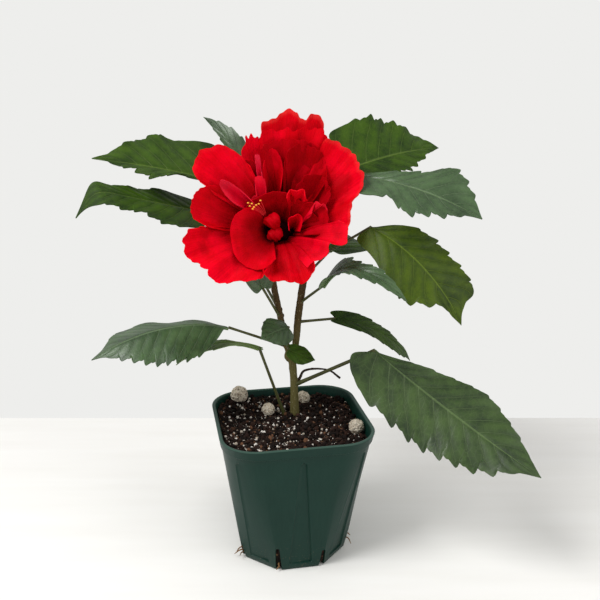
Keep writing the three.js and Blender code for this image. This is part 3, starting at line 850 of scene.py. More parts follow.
def bark_relief(piece, depth):
    """Long low ridges with small cross cracks, from noise that is stretched up the stem."""
    points = points_of(piece)
    normals = np.empty(len(points) * 3)
    piece.data.vertices.foreach_get("normal", normals)
    lift = []
    for x, y, z in points / MM:
        ridge = noise.noise((x / 0.7, y / 0.7, z / 5.5))
        crack = noise.noise((x / 1.5, y / 1.5, z / 0.9))
        lift.append(0.75 * ridge + 0.4 * crack)
    put_points(piece, points + normals.reshape(-1, 3) * (np.array(lift) * depth * MM)[:, None])


bark_relief(stems, 0.3)
outward(stems, 0.01 * MM)
smooth(stems, 80)
print("faces of the bark:", len(stems.data.polygons))

# %% Bark
bark = Finish("stem_bark", 0.75, 0.12)
height = bark.part(bark.place, "Z")
streak = bark.rise(bark.clouds((900, 900, 130), 5), 0.4, 0.2)
young = bark.rise(height, 0.105, 0.16)
low = bark.mix(streak, srgb(98, 92, 54), srgb(26, 25, 10))
upper = bark.mix(streak, srgb(74, 57, 33), srgb(27, 19, 9))
colour = bark.mix(young, low, upper)
warts = bark.rise(bark.cells((700, 700, 420)), 0.26, 0.16)
colour = bark.mix(0.5 * warts, colour, srgb(146, 138, 104))
bark.feed("Base Color", colour)
bark.feed("Roughness", 0.62 + 0.25 * streak)
bark.bump(streak + 0.5 * warts, 0.25)
hand_over(stems, "stems", ["trunk", "bough_left", "bough_right"], [bark.material])

# %% The bare twig
TWIG = [(2.8, 15, 102.4), (5.2, 16, 103.5), (8.3, 18, 108.1), (23.5, 22, 107.2), (31.2, 24, 101)]
twig = tube(smooth_route(TWIG, 0.4), [1.1, 0.8, 0.7, 0.55, 0.6, 0.75], 4)
bark_relief(twig, 0.16)
smooth(twig, 80)
twig_look = grainy("dry_twig", 0.8, 0.3, 900, 4, srgb(72, 54, 40), srgb(30, 22, 17), 0.2)
hand_over(twig, "dry_twig", ["bare_twig"], [twig_look])

# %% Root tips at the slits
ROOT_TIPS = [
    # the corner, the height, how far it reaches out, and how far it bends aside and down
    (4, 7.5, 7, 3, 1), (4, 5, 5.5, -2, 2.5), (4, 3.5, 4, 2, 0.5),
    (5, 5, 2.2, 1, 1), (5, 2.5, 2.5, -1, 0.5),
    (7, 9, 3.5, 1, 2), (7, 6, 4.5, -1.5, 3.5),
]
ROOT_FOOT = 33
ROOT_IN_WALL = 1.5
roots = []
for corner, height, length, aside, drop in ROOT_TIPS:
    turn = corner_angle(corner)
    outwards = np.array([math.cos(turn), math.sin(turn), 0])
    side = np.array([-math.sin(turn), math.cos(turn), 0])
    foot = outwards * ROOT_FOOT + UP * height
    middle = foot + outwards * (ROOT_IN_WALL + 0.55 * length) + side * 0.3 * aside - UP * 0.1 * drop
    end = foot + outwards * (ROOT_IN_WALL + length) + side * aside - UP * drop
    roots.append(tube(smooth_route([foot, middle, end], 0.5), [0.5, 0.42, 0.2], 3))
roots = joined(roots)
smooth(roots, 80)
root_look = grainy("root_skin", 0.8, 0.25, 700, 4, srgb(150, 112, 72), srgb(70, 46, 30), 0.2)
hand_over(roots, "root_tips", (), [root_look])

# %% [markdown]
# A hibiscus leaf is a toothed oval with a back-swept base. Its side veins leave the midrib at
# a slant and end in the teeth, and the blade puckers between them. A grid primitive already
# has rows and columns and a map over them, so each blade starts as a grid whose points are
# moved by one rule: along the leaf, and across it from margin to margin. The Solidify modifier
# gives it a wall, with a second material on the underside.

# %% The rule of a midrib
BLOOM_AXIS = np.array([-0.10, -0.82, 0.55])
BLOOM_AXIS = BLOOM_AXIS / np.linalg.norm(BLOOM_AXIS)


def unit(vectors):
    return vectors / np.linalg.norm(vectors, axis=-1, keepdims=True)


class Midrib:
    """An arched line from a foot to a tip, and the frame that a blade spreads on."""

    def __init__(self, foot, tip, facing, sag=0.1, bend=0.0, nod=0.0, hook=12, roll=0.0):
        self.foot = np.array(foot, float)
        self.tip = np.array(tip, float)
        chord = self.tip - self.foot
        self.length = np.linalg.norm(chord)
        along = chord / self.length
        raised = unit(facing - along * (facing @ along))
        across = np.cross(along, raised)
        turn = math.radians(roll)
        self.face = raised * math.cos(turn) + across * math.sin(turn)
        side = np.cross(along, self.face)
        self.middle = (self.foot + self.tip) / 2
        self.middle = self.middle + self.face * 2 * sag * self.length + side * 2 * bend * self.length
        self.nod = nod
        self.hook = hook

    def point(self, share):
        t = np.asarray(share, float)[..., None]
        arch = (1 - t) ** 2 * self.foot + 2 * t * (1 - t) * self.middle + t * t * self.tip
        return arch - self.face * (self.nod * self.length * t ** self.hook)

    def frame(self, share):
        """Points on the midrib with their tangent, normal and side."""
        tangent = unit(self.point(share + 0.01) - self.point(share - 0.01))
        normal = unit(self.face - tangent * (tangent @ self.face)[..., None])
        return self.point(share), tangent, normal, np.cross(tangent, normal)


print("the bloom looks along", np.round(BLOOM_AXIS, 2))

# %% The outline of a half
def smooth_at(spots, marks, at):
    """A smooth line through a few spots, which sit at given marks, read at many places."""
    slopes = np.gradient(spots, marks, axis=0)
    before = np.clip(np.searchsorted(marks, at, side="right") - 1, 0, len(marks) - 2)
    gap = (marks[before + 1] - marks[before])[..., None]
    t = (at - marks[before])[..., None] / gap
    start = (1 + 2 * t) * (1 - t) ** 2 * spots[before] + t * (1 - t) ** 2 * gap * slopes[before]
    end = t * t * (3 - 2 * t) * spots[before + 1] - t * t * (1 - t) * gap * slopes[before + 1]
    return start + end


def half_width(widths, s):
    """How far one half of a leaf reaches: a smooth line through widths at a few set shares."""
    heights = np.array((0, *widths, 0), float)[:, None]
    return np.maximum(smooth_at(heights, WIDTH_ROOTS, np.sqrt(np.clip(s, 0, 1)))[..., 0], 0)


WIDTH_ROOTS = np.sqrt([0, 0.04, 0.12, 0.25, 0.4, 0.55, 0.7, 0.82, 0.92, 1])
print("widths are given at", np.round(WIDTH_ROOTS[1:-1] ** 2, 2), "of the length")

# %% The rule of a blade
TOOTH_DEPTH = 0.16
SMALL_TOOTH_DEPTH = 0.045
GROOVE_DEPTH = 0.45
GROOVE_WIDTH = 1.1
VEIN_LEAN = 1.7
VEIN_START = 0.2
TOOTH_RISE = 0.8
TOOTH_FALL = 0.2
BLADE_COLUMNS = 30
ROWS_PER_TOOTH = 12


def saw(place):
    """A tooth that rises slowly towards the tip of the leaf and falls back fast."""
    part = place - np.floor(place)
    return np.where(part < TOOTH_RISE, part / TOOTH_RISE, (1 - part) / TOOTH_FALL)


def by_side(leaf, key, usual, v):
    """An option of a leaf for every point: one number, or a pair for the left and right half."""
    value = leaf.get(key, usual)
    left, right = value if isinstance(value, tuple) else (value, value)
    return np.where(v < 0, left, right)


def blade_points(leaf, s, v):
    """Where the points of a grid go: s runs from foot to tip, and v from -1 to 1 across."""
    teeth = leaf.get("teeth", 8)
    midrib = leaf["midrib"]
    half = max(max(leaf["left"]), max(leaf["right"]))
    q = np.abs(v)
    # how far the point lies from the midrib, as a share of the half width, with its tooth
    full = np.where(v < 0, half_width(leaf["left"], s), half_width(leaf["right"], s)) / half
    toothed = np.clip((s - leaf.get("toothed_from", 0.12)) / 0.2, 0, 1)
    toothed = toothed * np.clip((0.93 - s) / 0.1, 0, 1) * np.clip(full / 0.4, 0, 1)
    toothed = toothed * by_side(leaf, "cut", 1, v)
    jag = toothed * (saw(s * teeth) - 0.5)
    small = toothed * (saw(2 * s * teeth + 0.35) - 0.5)
    out = full + (TOOTH_DEPTH * jag + SMALL_TOOTH_DEPTH * small) * (1 - 0.55 * s) * q ** 3
    # where it lies along the leaf: the base's lobes sweep back, and the margin sweeps forward
    lobe = by_side(leaf, "lobe", 0.09, v)
    back = s - lobe * (s / 0.05) * np.exp(1 - s / 0.05) + 0.022 * jag
    sweep = 0.33 * (half / midrib.length) * out * np.minimum(s / 0.3, 1) * np.sqrt(1 - s)
    place = s + (back - s) * q ** 1.3 + sweep * q ** 1.2
    inside = np.clip(place, 0, 1)
    reach = q * np.maximum(out * half, 0.12)
    # how far it stands up: puckers between the veins, a groove at the midrib and a wavy margin
    fold = np.radians(by_side(leaf, "fold", 0, v))
    between = np.abs(np.sin(np.pi * (s * teeth + VEIN_LEAN * (1 - q) + VEIN_START)))
    fades = np.clip(q / 0.15, 0, 1) * np.clip((1 - s) / 0.2, 0, 1) * np.clip(1.25 - q, 0, 1)
    pucker = leaf.get("pucker", 0.38) * (between - 0.5) * fades * min(half / 22, 1)
    groove = -GROOVE_DEPTH * np.exp(-((reach / GROOVE_WIDTH) ** 2)) * np.clip((1 - s) / 0.3, 0, 1)
    wave = leaf.get("wave", 0.035) * half * q ** 2 * np.clip((1 - s) / 0.15, 0, 1)
    turns = s * leaf.get("waves", 3.2) * 2 * np.pi + leaf["phase"]
    wave = wave * np.sin(turns + np.where(v < 0, 1.7, 0))
    point, tangent, normal, side = midrib.frame(inside)
    rise = reach * np.sin(fold) + pucker + groove + wave
    along = (place - inside) * midrib.length
    return (point + tangent * along[..., None] + normal * rise[..., None]
            + side * (np.sign(v) * reach * np.cos(fold))[..., None])


print("a blade has", BLADE_COLUMNS, "columns and", ROWS_PER_TOOTH, "rows to a tooth")

# %% A grid that follows a rule
def grid_piece(rows, columns, rule, wall, map_rows, looks=()):
    """A grid primitive whose points are moved by a rule and which then gets its wall."""
    bpy.ops.object.select_all(action="DESELECT")
    bpy.ops.mesh.primitive_grid_add(x_subdivisions=rows, y_subdivisions=columns, size=1)
    piece = bpy.context.object
    flat = points_of(piece)
    s, v = flat[:, 0] + 0.5, -2 * flat[:, 1]
    put_points(piece, rule(s, v) * MM)
    uv = piece.data.uv_layers[0].data
    corners = np.empty(len(uv) * 2)
    uv.foreach_get("uv", corners)
    corners = corners.reshape(-1, 2) * (map_rows, 1)
    uv.foreach_set("uv", corners.ravel())
    for look in looks:
        piece.data.materials.append(look)
    apply(piece, "SOLIDIFY", thickness=wall * MM, offset=0,
          material_offset=1, material_offset_rim=0)
    return piece


print("a blade with eight teeth has", 8 * ROWS_PER_TOOTH, "rows")

# %% [markdown]
# Leaves of one plant differ: old ones are deep green with a grey gloss, and lit ones are
# yellow-green. One function makes both sides of each kind. The veins are drawn from the
# blade's own map, whose rows are counted in teeth, so every side vein meets its tooth.

# %% Leaf finishes
def leaf_finish(name, deep, fresh, vein, rough, gloss, under=False):
    finish = Finish(name, shine=gloss, more={
        "Subsurface Weight": 0.08, "Subsurface Scale": 1.0,
        "Subsurface Radius": (0.0006, 0.0012, 0.0003)})
    flow = finish.flow()
    rows = finish.part(flow, "X")
    q = abs(finish.part(flow, "Y") * 2 - 1)
    turn = rows + VEIN_LEAN * (1 - q) + VEIN_START
    off = 0.5 - abs(finish.math("FRACT", turn) - 0.5)
    side_vein = finish.rise(off, 0.05 - 0.032 * q, 0.008) * finish.rise(q, 1.0, 0.8)
    midrib = finish.rise(q, 0.04, 0.014)
    net = finish.rise(finish.cells((4.16, 14.4, 1.6), "DISTANCE_TO_EDGE", vector=flow), 0.07, 0.0)
    broad = finish.clouds(70)
    fine = finish.clouds(420, 4)
    # flank marks the strip beside each side vein; in the colour below it is painted shade in the crease
    # there
    flank = finish.rise(off, 0.16, 0.05) * finish.rise(q, 1.0, 0.7)
    crease_shade = tuple(0.45 * value for value in deep[:3]) + (1,)
    # bulge lightens the blade between the veins: a painted highlight on the puckers
    bulge = finish.rise(off, 0.08, 0.45) * finish.rise(q, 0.05, 0.3)
    colour = finish.mix(finish.rise(broad + 0.3 * fine + 0.12 * bulge, 0.36, 1.0), deep, fresh)
    colour = finish.mix(0.1 * net, colour, vein)
    colour = finish.mix((0.08 if under else 0.04) * flank, colour, crease_shade)
    colour = finish.mix((0.7 if under else 0.34) * side_vein, colour, vein)
    colour = finish.mix((0.8 if under else 0.45) * midrib, colour, vein)
    finish.feed("Base Color", finish.mix(0.3 * fine, colour, deep))
    finish.feed("Roughness", rough + 0.14 * fine + 0.08 * flank)
    sign = 1 if under else -1
    veins = finish.math("MAXIMUM", side_vein, midrib)
    finish.bump(sign * veins + sign * 0.06 * flank + sign * 0.12 * net + 0.2 * fine, 0.2)
    return finish.material


# deep and fresh green, the veins' green, the roughness and the gloss
LEAF_KINDS = {
    "deep": (srgb(18, 42, 0), srgb(60, 88, 6), srgb(106, 130, 54), 0.42, 0.2),
    "glossy": (srgb(36, 58, 28), srgb(74, 100, 60), srgb(118, 142, 98), 0.32, 0.5),
    "broad": (srgb(20, 40, 8), srgb(64, 88, 36), srgb(108, 132, 78), 0.34, 0.42),
    "sunlit": (srgb(26, 46, 0), srgb(74, 94, 0), srgb(112, 134, 40), 0.44, 0.24),
    "pale": (srgb(70, 96, 36), srgb(108, 134, 64), srgb(152, 172, 104), 0.45, 0.34),
}
leaf_looks = {}
for kind, (deep, fresh, vein, rough, gloss) in LEAF_KINDS.items():
    pale = tuple(0.55 * a + 0.45 * b for a, b in zip(fresh, srgb(140, 160, 112)))
    leaf_looks[kind] = [
        leaf_finish("leaf_" + kind + "_upper", deep, fresh, vein, rough, gloss),
        leaf_finish("leaf_" + kind + "_under", fresh, pale, vein, rough + 0.15, 0.3, True),
    ]

stalk_look = grainy("leaf_stalk", 0.5, 0.4, 500, 3, srgb(50, 51, 24), srgb(88, 91, 45), 0.1)
print("leaf finishes:", len(leaf_looks) * 2)

# %% The nineteen leaves
# where the stalk leaves the stem, the foot and the tip of the blade, and how far its left and
# right half reach at the set shares of its length, or the half width of a plain oval
LEAVES = {
    "leaf_upper_left": dict(
        stalk=(-12.5, 14, 214), foot=(-44, 12, 228), tip=(-110, -2, 242),
        left=(2, 2, 5, 11, 14, 7, 3, 1.5), right=(31, 34, 32, 31, 26, 18, 11, 4), sag=0.02, roll=-22,
        fold=8, cut=(1.6, 0.35), kind="deep"),
    "leaf_middle_left": dict(
        stalk=(-12.3, 13.5, 203), foot=(-53, 8, 211), tip=(-107, -26, 229),
        left=(10, 18, 21, 17, 14, 13, 12, 9), right=(8, 13, 14, 12, 10, 9, 9, 9), sag=0, nod=0.31,
        hook=24, roll=-28, cut=(1, 0.3), kind="deep"),
    "leaf_top_left": dict(
        stalk=(-11.5, 15, 221), foot=(-24, 22, 222), tip=(-52, 40, 262), left=(4, 5, 5, 5, 4, 3, 2, 1),
        right=(5, 7, 8, 8, 7, 5, 3, 1.5), teeth=6, bend=0.12, roll=-70, fold=-10, kind="glossy"),
    "leaf_top_right": dict(
        stalk=(20, 13.5, 227), foot=(36, 13, 235), tip=(91, 48, 243),
        left=(25, 30, 32, 29, 25, 18, 11, 5), right=(6, 10, 13, 13, 10, 7, 3, 1.5), sag=0.06, roll=45,
        fold=-4, kind="deep"),
    "leaf_upper_right": dict(
        stalk=(18, 13, 221), foot=(41, 3, 231.5), tip=(104, -25, 212),
        left=(2.5, 5, 9, 16, 24, 21, 13, 6), right=(12, 14, 12, 19, 16, 12, 6, 2.5), sag=0.07, roll=33,
        cut=(0.9, 1.2), kind="glossy"),
    "leaf_middle_right": dict(
        stalk=(9.5, 12.8, 178), foot=(46, -5, 204), tip=(96, -25, 152),
        left=(3, 9, 16, 18, 17, 18, 17, 4), right=(10, 13, 18, 20, 20, 12, 4, 2), bend=-0.05, sag=0.1,
        roll=50, fold=-6, wave=0.08, waves=2.4, lobe=(0, 0.09), kind="sunlit"),
    "leaf_inner_right": dict(
        stalk=(6, 13.8, 154), foot=(19, -2, 168.5), tip=(63.5, -38, 169.5),
        left=(10, 13, 11, 6, 5, 5, 4, 2), right=(4, 6, 7, 7, 7, 6, 4, 2), sag=0.3, fold=10,
        lobe=(0.28, 0.03), roll=24, kind="glossy"),
    "leaf_lower_right": dict(
        stalk=(4.3, 14.4, 141.5), foot=(27, 7, 146), tip=(75.5, 26, 112), left=(5, 8, 8, 7, 6, 5, 4, 3),
        right=(3, 5, 6, 7.5, 8, 8, 5, 2), sag=0.12, roll=34, kind="deep"),
    "leaf_front_right": dict(
        stalk=(2, 14.5, 100), foot=(50, -5, 130), tip=(137, -60, 76),
        left=(1.5, 6, 14, 20, 22, 17, 11, 5), right=(12, 24, 27, 27, 24, 19, 12, 4), sag=-0.045,
        roll=42, fold=-6, teeth=11, cut=(0.3, 1.1), lobe=(0, 0.12), toothed_from=0.03, pucker=0.28,
        stalk_radius=1.1, kind="broad"),
    "leaf_lower_left": dict(
        stalk=(-2.3, 14.7, 125.6), foot=(-37, 5, 141), tip=(-111, -30, 133),
        left=(2, 13, 23, 25, 22, 17, 9, 3), right=(8, 12, 15, 19, 26, 28, 18, 7), sag=0.12, roll=-13,
        fold=-21, teeth=12, cut=(1, 0.3), lobe=(0, 0.05), kind="glossy"),
    "leaf_basal": dict(
        stalk=(-3.5, 15, 78), foot=(-19, 8, 127), tip=(-69, 2, 118), left=(1.5, 3, 6, 9, 9, 8, 5, 2),
        right=(1.5, 2, 3, 5, 6, 6, 4, 2), sag=0.16, stalk_radius=0.9, kind="pale"),
    "leaf_fork_front": dict(
        stalk=(-4.9, 13.5, 139.3), foot=(-1, 5, 141), tip=(-17, -14, 140), oval=10, teeth=5, roll=-40,
        fold=-10, cut=0.4, kind="glossy"),
    "leaf_fork_small": dict(
        stalk=(-3.2, 14.2, 130), foot=(-1, 5, 127), tip=(15, 5, 120), oval=6.5, teeth=3, sag=0, roll=40,
        fold=-10, cut=0.4, kind="deep"),
    "leaf_under_bloom": dict(
        stalk=(-5.9, 13.2, 144), foot=(-16, 2, 166), tip=(-31, 15, 195), oval=10, teeth=5, roll=-20,
        cut=0.5, kind="glossy"),
    "leaf_back_left": dict(
        stalk=(-11.9, 12.8, 190), foot=(-22, 38, 205), tip=(-40, 100, 196), oval=23, teeth=6, sag=0.12,
        fold=8, kind="deep"),
    "leaf_back_right": dict(
        stalk=(14, 12.2, 206), foot=(24, 40, 218), tip=(42, 104, 212), oval=25, teeth=6, sag=0.12,
        roll=5, fold=8, kind="deep"),
    "leaf_back_top": dict(
        stalk=(13, 12.3, 200), foot=(4, 46, 232), tip=(-6, 104, 232), oval=20, teeth=6, sag=0.14,
        fold=6, kind="glossy"),
    "leaf_back_low_right": dict(
        stalk=(8.4, 13, 170), foot=(25, 42, 180), tip=(56, 84, 168), oval=21, teeth=6, sag=0.14,
        roll=10, fold=6, kind="deep"),
    "leaf_back_low_left": dict(
        stalk=(-7, 12.8, 150), foot=(-24, 40, 172), tip=(-62, 82, 168), oval=21, teeth=6, sag=0.14,
        roll=-8, fold=6, kind="sunlit"),
}
# an oval's half width at the same places, as shares of its widest
OVAL = (0.5, 0.8, 0.98, 1, 0.88, 0.66, 0.42, 0.18)
for leaf in LEAVES.values():
    if "oval" in leaf:
        leaf["left"] = leaf["right"] = tuple(leaf["oval"] * share for share in OVAL)
print("leaves:", len(LEAVES))

# %% Make the leaves
LEAF_WALL = 0.55
SMALL_LEAF_WALL = 0.45
SMALL_LEAF_HALF = 12
SMALL_LEAF_COLUMNS = 18
STALK_SWELL = (1.35, 1.1, 1, 1, 0.95, 1.05)
RIB_END = 0.93
RIB_POINTS = 30
MIDRIB_OPTIONS = ("sag", "bend", "nod", "hook", "roll")


def leaf_piece(number, leaf):
    """One leaf: its stalk, the rib under the blade, and the blade itself."""
    bends = {key: leaf[key] for key in MIDRIB_OPTIONS if key in leaf}
    midrib = Midrib(leaf["foot"], leaf["tip"], UP, **bends)
    leaf["midrib"] = midrib
    leaf["phase"] = 1.9 * number
    teeth = leaf.get("teeth", 8)
    big = max(leaf["left"]) > SMALL_LEAF_HALF
    columns = BLADE_COLUMNS if big else SMALL_LEAF_COLUMNS
    wall = LEAF_WALL if big else SMALL_LEAF_WALL

    def rule(s, v):
        return blade_points(leaf, np.clip(s, 0.004, 0.9995), v)

    looks = leaf_looks[leaf["kind"]] + [stalk_look]
    blade = grid_piece(teeth * ROWS_PER_TOOTH, columns, rule, wall, teeth, looks)
    radius = leaf.get("stalk_radius", 0.8)
    halfway = (np.array(leaf["stalk"]) + leaf["foot"]) / 2
    route = smooth_route([leaf["stalk"], halfway, leaf["foot"]], 1.2)
    stalk = tube(route, [radius * swell for swell in STALK_SWELL], 3)
    shares = np.linspace(0, RIB_END, RIB_POINTS)
    spots, _, normals, _ = midrib.frame(shares)
    girth = radius * (1.02 - shares) ** 0.8 * 0.95
    sunk = 0.6 * girth + 0.2 + 0.45 * np.clip((1 - shares) / 0.3, 0, 1)
    rib = tube(spots - normals * sunk[:, None], girth + 0.05, 3)
    stalk.data.materials.append(stalk_look)
    rib.data.materials.append(looks[1])
    piece = joined([blade, stalk, rib])
    outward(piece, 0.03 * MM)
    smooth(piece, 62)
    return piece


for number, (name, leaf) in enumerate(LEAVES.items()):
    piece = leaf_piece(number, leaf)
    hand_over(piece, name.replace("leaf", "blade"), [name])
    faces = np.empty(len(piece.data.polygons), int)
    piece.data.polygons.foreach_get("material_index", faces)
    print("faces of the upper side, the underside and the stalk:", np.bincount(faces))

# %% [markdown]
# The bloom is double: an outer ring of broad petals, inner ones that crowd over the throat,
# and stamens that have half turned into petals. Every petal is the same shape rule with other
# numbers: a fan from a narrow foot to a free edge, which is a smooth line through a few
# points. They are made one by one on a grid primitive, like the leaves, and joined. A tone on
# each petal lets one material tell them apart.

# %% The petals
# the foot; how deep the left end, the middle and the right end of the free edge lie; how much painted
# shade darkens the petal within; its waves and folds; and its free edge, as the viewer sees it
PETALS = [
    # the top petal and its ruffled neighbour, with the frill beside them
    dict(
        foot=(-5, 5, 202), depth=(12, 14, 12), shade_within=0.3, ruffle=1.1, folds=0.6, scallop=0.008,
        edge=[(-19, 247), (-16, 254), (-16, 260), (-12, 262), (-8, 263), (-5, 266), (0, 268), (4, 266),
        (6, 263), (9, 262), (12, 265), (16, 265), (19, 261), (19, 254), (19, 248)]),
    dict(
        foot=(-4, 4, 202), depth=(6, 8, 5), shade_within=0.6, ruffle=1.5, waves=3, phase=1.3, tone=0.2,
        folds=0.5, edge=[(-18, 245), (-17, 252), (-15, 256), (-10, 257), (-6, 256), (-2, 258), (3, 256),
        (7, 258), (12, 257), (17, 258), (20, 255), (21, 249), (19, 245)]),
    dict(
        foot=(-8, 5, 202), depth=(6, 8, 5), shade_within=0.7, ruffle=1.4, phase=0.7, edge=[(-24, 235),
        (-27, 240), (-27, 246), (-25, 250), (-25, 254), (-23, 252), (-22, 255), (-20, 253), (-18, 253),
        (-17, 250), (-13, 250), (-10, 244)]),
    # the outer petals, clockwise from the right
    dict(
        foot=(-1, 2, 201), depth=(3, -6, -20), shade_within=0.4, ruffle=1.3, waves=3, phase=2, folds=0.8,
        scallop=0.016, edge=[(18, 247), (19, 251), (23, 252), (28, 250), (32, 247), (35, 245),
        (38, 241), (39, 238), (41, 234), (40, 228), (37, 223), (35, 219), (34, 214), (33, 209),
        (29, 205)]),
    dict(
        foot=(-1, -4, 197), depth=(-26, -36, -38), shade_within=0.5, ruffle=0.9, phase=1, sag=-3, folds=0.2,
        tone=0.86, edge=[(27, 211), (31, 209), (31, 205), (29, 200), (25, 200), (22, 201), (21, 197),
        (18, 194), (13, 192), (10, 188)]),
    dict(
        foot=(-4, -4, 195.5), depth=(-36, -38, -38), shade_within=0.55, ruffle=1.3, sag=-6, folds=0.6,
        edge=[(12, 193), (14, 188), (12, 184), (8, 181), (3, 180), (-2, 180), (-7, 181), (-11, 183),
        (-14, 187)]),
    dict(
        foot=(-8, -4, 196), depth=(-26, -38, -38), shade_within=0.6, ruffle=1.8, waves=3, phase=2.2, sag=-6,
        folds=0.9, edge=[(-47, 209), (-54, 206), (-57, 201), (-56, 197), (-52, 192), (-48, 189),
        (-45, 186), (-42, 183), (-38, 181), (-32, 181), (-25, 180), (-18, 181), (-14, 184), (-12, 188)]),
    dict(
        foot=(-10, -2, 200), depth=(-26, -20, -12), shade_within=0.6, phase=1.3, sag=2, folds=0.6, ruffle=0.8,
        scallop=0.01, edge=[(-41, 207), (-48, 210), (-53, 215), (-53, 221), (-51, 225), (-47, 228),
        (-40, 228)]),
    dict(
        foot=(-9, 1, 203), depth=(-12, -8, -4), shade_within=0.5, ruffle=1, phase=0.3, sag=-4, folds=0.9,
        scallop=0.01, edge=[(-41, 223), (-46, 228), (-50, 231), (-53, 237), (-51, 242), (-49, 247),
        (-45, 248), (-38, 250), (-33, 248), (-27, 244), (-22, 238)]),
    # the inner petals stand above the throat
    dict(
        foot=(-3, 2, 202), depth=(2, 4, 1), shade_within=0.9, ruffle=1.8, waves=3, phase=0.2, sag=3, folds=0.6,
        edge=[(-20, 236), (-19, 243), (-14, 249), (-8, 251), (1, 252), (9, 251), (15, 248), (18, 241),
        (19, 234)]),
    dict(
        foot=(-9, 2, 205), depth=(0, 2, 0), shade_within=0.85, ruffle=0.8, phase=0.9, sag=3, cup=4,
        edge=[(-15, 226), (-15, 236), (-13, 244), (-10, 247), (-6, 244), (-4, 236), (-5, 226)]),
    dict(
        foot=(-1, 1, 202), depth=(2, 0, -4), shade_within=1, ruffle=1.8, waves=3, phase=0.8, sag=5, cup=3,
        edge=[(-4, 235), (-1, 245), (4, 249), (12, 248), (18, 245), (20, 239), (21, 231), (18, 225)]),
    dict(
        foot=(-1, 0, 201), depth=(-3, -6, -12), shade_within=1, ruffle=1.4, waves=3, phase=1.2, sag=4, cup=2,
        edge=[(4, 227), (10, 233), (17, 233), (21, 230), (22, 225), (21, 218), (17, 213)]),
    dict(
        foot=(-9, 0, 204), depth=(-6, -4, -1), shade_within=0.95, ruffle=1, phase=1.8, sag=3, cup=2,
        edge=[(-26, 216), (-29, 226), (-30, 234), (-28, 240), (-22, 241), (-18, 238), (-16, 230)]),
    # the cup around the throat: its tall back, its right wall, its lip and the ruffles beside it
    dict(
        foot=(-5, -1, 203), depth=(-13, -8, -14), shade_within=1, ruffle=0.8, waves=3, phase=0.4, sag=1.5,
        folds=0.4, scallop=0.01, edge=[(-25, 214), (-21, 220), (-15, 223), (-9, 224), (-1, 224),
        (5, 220), (12, 215), (18, 208)]),
    dict(
        foot=(-1, -2, 200), depth=(-11, -18, -22), shade_within=1, ruffle=1.2, phase=0.4, sag=1, folds=0.5,
        edge=[(8, 218), (14, 219), (20, 215), (22, 208), (19, 204), (12, 203)]),
    dict(
        foot=(-10, -7, 200), depth=(-15, -31, -40), shade_within=0.82, ruffle=0.7, waves=3, phase=0.8, sag=-3,
        folds=0.3, scallop=0.01, facing=BLOOM_AXIS, tone=0.3, edge=[(-19, 218), (-26, 216), (-30, 212),
        (-32, 206), (-31, 199), (-29, 193), (-25, 189), (-20, 187), (-14, 187), (-10, 190), (-7, 194)]),
    dict(
        foot=(2, -1, 204), depth=(-11, -13, -12), shade_within=0.5, ruffle=1.4, waves=3, phase=2.2, sag=1,
        edge=[(-1, 220), (-1, 224), (2, 226), (7, 226), (9, 223), (10, 218)]),
    dict(
        foot=(4, -2, 203), depth=(-14, -16, -15), shade_within=0.5, ruffle=1.4, waves=3, phase=1.7, tone=0.9,
        edge=[(12, 211), (13, 217), (16, 220), (19, 218), (21, 214), (19, 211)]),
    dict(
        foot=(1, -4, 201), depth=(-11, -13, -13), shade_within=0.8, ruffle=1, phase=2.6, cup=1, edge=[(0, 204),
        (-1, 209), (2, 212), (5, 212), (7, 209), (6, 204)]),
    # stamens half turned into petals
    dict(
        foot=(-14, -6, 210), depth=(-12, -16, -12), shade_within=0.4, ruffle=0.7, phase=0.4, tone=0.93,
        edge=[(-26, 216), (-34, 222), (-38, 229), (-37, 232), (-33, 231), (-27, 226), (-20, 219)]),
    dict(
        foot=(-14, -1, 214), depth=(-3, -3, -3), shade_within=0.6, ruffle=0.6, phase=2.2, tone=1,
        edge=[(-16, 221), (-18, 232), (-19, 241), (-19, 244), (-17, 244), (-16, 237), (-14, 222)]),
    dict(
        foot=(-15.5, -5, 212), depth=(-6, -7, -6), shade_within=0.4, ruffle=0.8, phase=1.2, tone=0.9, cup=1,
        edge=[(-18, 219), (-19, 227), (-19, 232), (-16, 233), (-14, 231), (-13, 225), (-13, 219)]),
    dict(
        foot=(-17, -6, 211), depth=(-8, -8, -8), shade_within=0.5, ruffle=0.5, phase=0.2, tone=0.9,
        edge=[(-22, 215), (-21, 220), (-20, 222), (-18, 222), (-17, 217)]),
]
print("petals:", len(PETALS))

